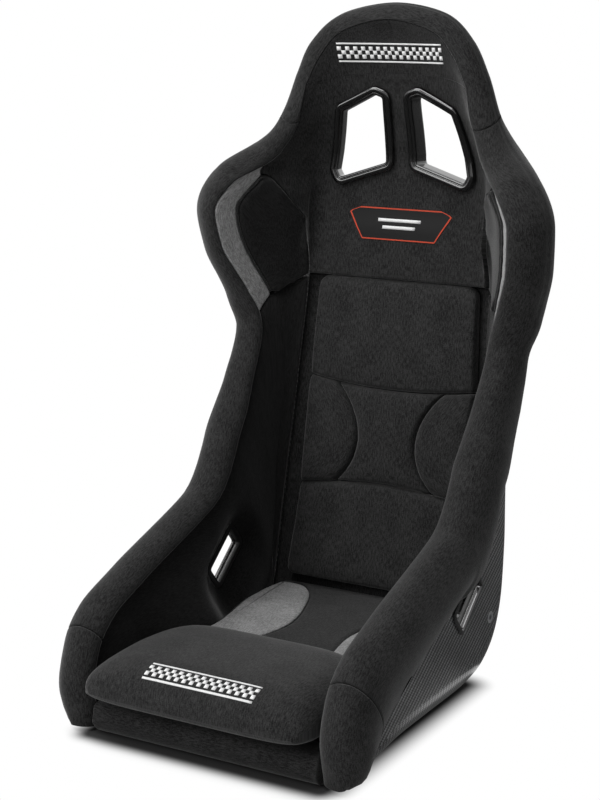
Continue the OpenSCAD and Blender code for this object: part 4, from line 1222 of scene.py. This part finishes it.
# Back cushion: a separate pad of soft foam in five sewn fields, held by hook-and-loop tape,
# whose hooks are a dull, prickly black.
hook = grained("nylon hook tape", "0e0e0e", 0.8, "TexVoronoi", {"Scale": 700.0}, strength=0.5,
               distance=0.0006)
for name in ("hook_tape_back", "hook_tape_thigh"):
    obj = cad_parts[name]
    obj.data.materials.clear()
    obj.data.materials.append(hook)

cushion_cloth = knit("knitted cover, cushions", "161616", "363636")
CUSHION_T = 20
CUSHION_LOW = BACK_T + 2 * GAP + TAPE_T


def aside(x, v):
    """Place across at a distance x from the centre plane."""
    low, high = 0 * x, 0 * x + 8
    for _ in range(24):
        mid = (low + high) / 2
        less = face(mid, v)[..., 0] < x
        low, high = np.where(less, mid, low), np.where(less, high, mid)
    return (low + high) / 2


def cushion_x(v):
    return lerp(148, 127, (v - CUSHION_V) / (CUSHION_TOP_V - CUSHION_V))


# Stations of the two cross seams, which bow towards each other in the middle.
LOW_V, HIGH_V = 10, 10.86


def seam_high(s):
    return HIGH_V - 0.06 * (1 - s ** 2)


def seam_low(s):
    return LOW_V + 0.1 * (1 - s ** 2)


def waist_x(v):
    """Where the middle field ends: the seams to the side fields curve in."""
    return 46 + 50 * np.abs(2 * (v - LOW_V) / (HIGH_V - LOW_V) - 1) ** 2


def field(a, b, x0, x1, half, m, n, corner=(0, 0)):
    """One field of the cushion between stations a and b, from x0 to x1 off centre."""
    def where(T, S):
        v0 = lerp(a(0.5), b(0.5), T)
        x = lerp(x0(v0), x1(v0), S)
        v = lerp(a(x / cushion_x(v0)), b(x / cushion_x(v0)), T)
        for near, r in zip((v - a(1.0), b(1.0) - v), corner):
            if r:
                x = x - rolled(np.maximum(near, 0) * 85, r) * S
        return aside(x, v), v

    def height(T, S, U, V):
        full = CUSHION_T + 10 * np.clip(1 - (V - CUSHION_V) / 1.2, 0, None)
        return CUSHION_LOW + full * crown(T, 0.72) * crown((1 + S) / 2 if half else S, 0.72)

    return padding(where, height, m, n, roll=7.0, half=half, low=CUSHION_LOW)


def foot_line(s):
    return CUSHION_V + 0 * s


def head_line(s):
    return CUSHION_TOP_V + 0 * s


def under(seam):
    return lambda s: seam(s) - 0.005


def above(seam):
    return lambda s: seam(s) + 0.005


def centre(v):
    return 0 * v


def beside_waist(v):
    return waist_x(v) + 2 * GAP


flank_field = (above(seam_low), under(seam_high), beside_waist, cushion_x, False, 44, 26)
for word, side, facts in (
        ("top", 1, (above(seam_high), head_line, centre, cushion_x, True, 60, 44, (0, 16))),
        ("middle", 1, (above(seam_low), under(seam_high), centre, waist_x, True, 44, 30)),
        ("bottom", 1, (foot_line, under(seam_low), centre, cushion_x, True, 60, 44, (14, 0))),
        ("side_right", 1, flank_field),
        ("side_left", -1, flank_field)):
    cover(f"back_cushion_{word}", field(*facts), cushion_cloth, "cushion_fabric", 0.8,
          body="back_cushion", side=side)


# Thigh cushion: a loose wedge of soft foam with a rounded nose that overhangs the front roll,
# in the same cloth. Its sections, from the nose back: y, half-width, underside and top.
THIGH_X = WALL_X - RIM_IN - 6
LOW = FRONT_PAD_H + 2 * GAP + TAPE_T
HIGH = 120
THIGH = np.array([
    (-318, THIGH_X - 16, LOW + 20, HIGH - 37),
    (-312, THIGH_X - 7, LOW + 12, HIGH - 23),
    (-296, THIGH_X - 1, LOW + 6, HIGH - 10),
    (-262, THIGH_X, LOW, HIGH - 2),
    (-210, THIGH_X, LOW, HIGH),
    (-165, THIGH_X - 4, LOW, HIGH - 1),
    (-132, THIGH_X - 12, LOW, HIGH - 4),
    (-112, THIGH_X - 26, LOW + 1, HIGH - 10),
    (-104, THIGH_X - 44, LOW + 8, HIGH - 19),
], float)


def through(table, t):
    """The rows of a table joined by a smooth curve, at t from 0 to its last row."""
    rows = np.vstack([2 * table[0] - table[1], table, 2 * table[-1] - table[-2]])
    i = np.clip(np.floor(t).astype(int), 0, len(table) - 2)
    f = (t - i)[..., None]
    p, a, b, q = (rows[i + k] for k in range(4))
    m, n = slope(a - p, b - a), slope(b - a, q - b)
    return lerp(a, b, 3 * f ** 2 - 2 * f ** 3) + m * (f ** 3 - 2 * f ** 2 + f) + n * (f ** 3 - f ** 2)


T, S = np.meshgrid(spread(72, k=0.3) * (len(THIGH) - 1), spread(56, True), indexing="ij")
cut = through(THIGH, T)
lift = 0.62 * (1 - np.sqrt(np.maximum(1 - S ** 6, 0)))
top = np.stack([cut[..., 1] * S, cut[..., 0], lerp(cut[..., 3], cut[..., 2], 0.9 * lift)], -1)
bottom = np.stack([cut[..., 1] * S, cut[..., 0], lerp(cut[..., 2], cut[..., 3], 0.4 * lift)], -1)
bm = laid(top)
thicken(bm, bottom, True)
map_flat(bm, "xz", [f for f in bm.faces if f.normal.y < -0.6])
thigh = cover("thigh_cushion", bm, cushion_cloth, "cushion_fabric", 0.8, body="thigh_cushion_body")
bm = chequers(0, (0.008, -0.292, 0))
drape(bm, thigh, (0, 0, -1))
piece("thigh_cushion_chequers", bm, flock, "thigh_cushion_body", "grey_fabric")
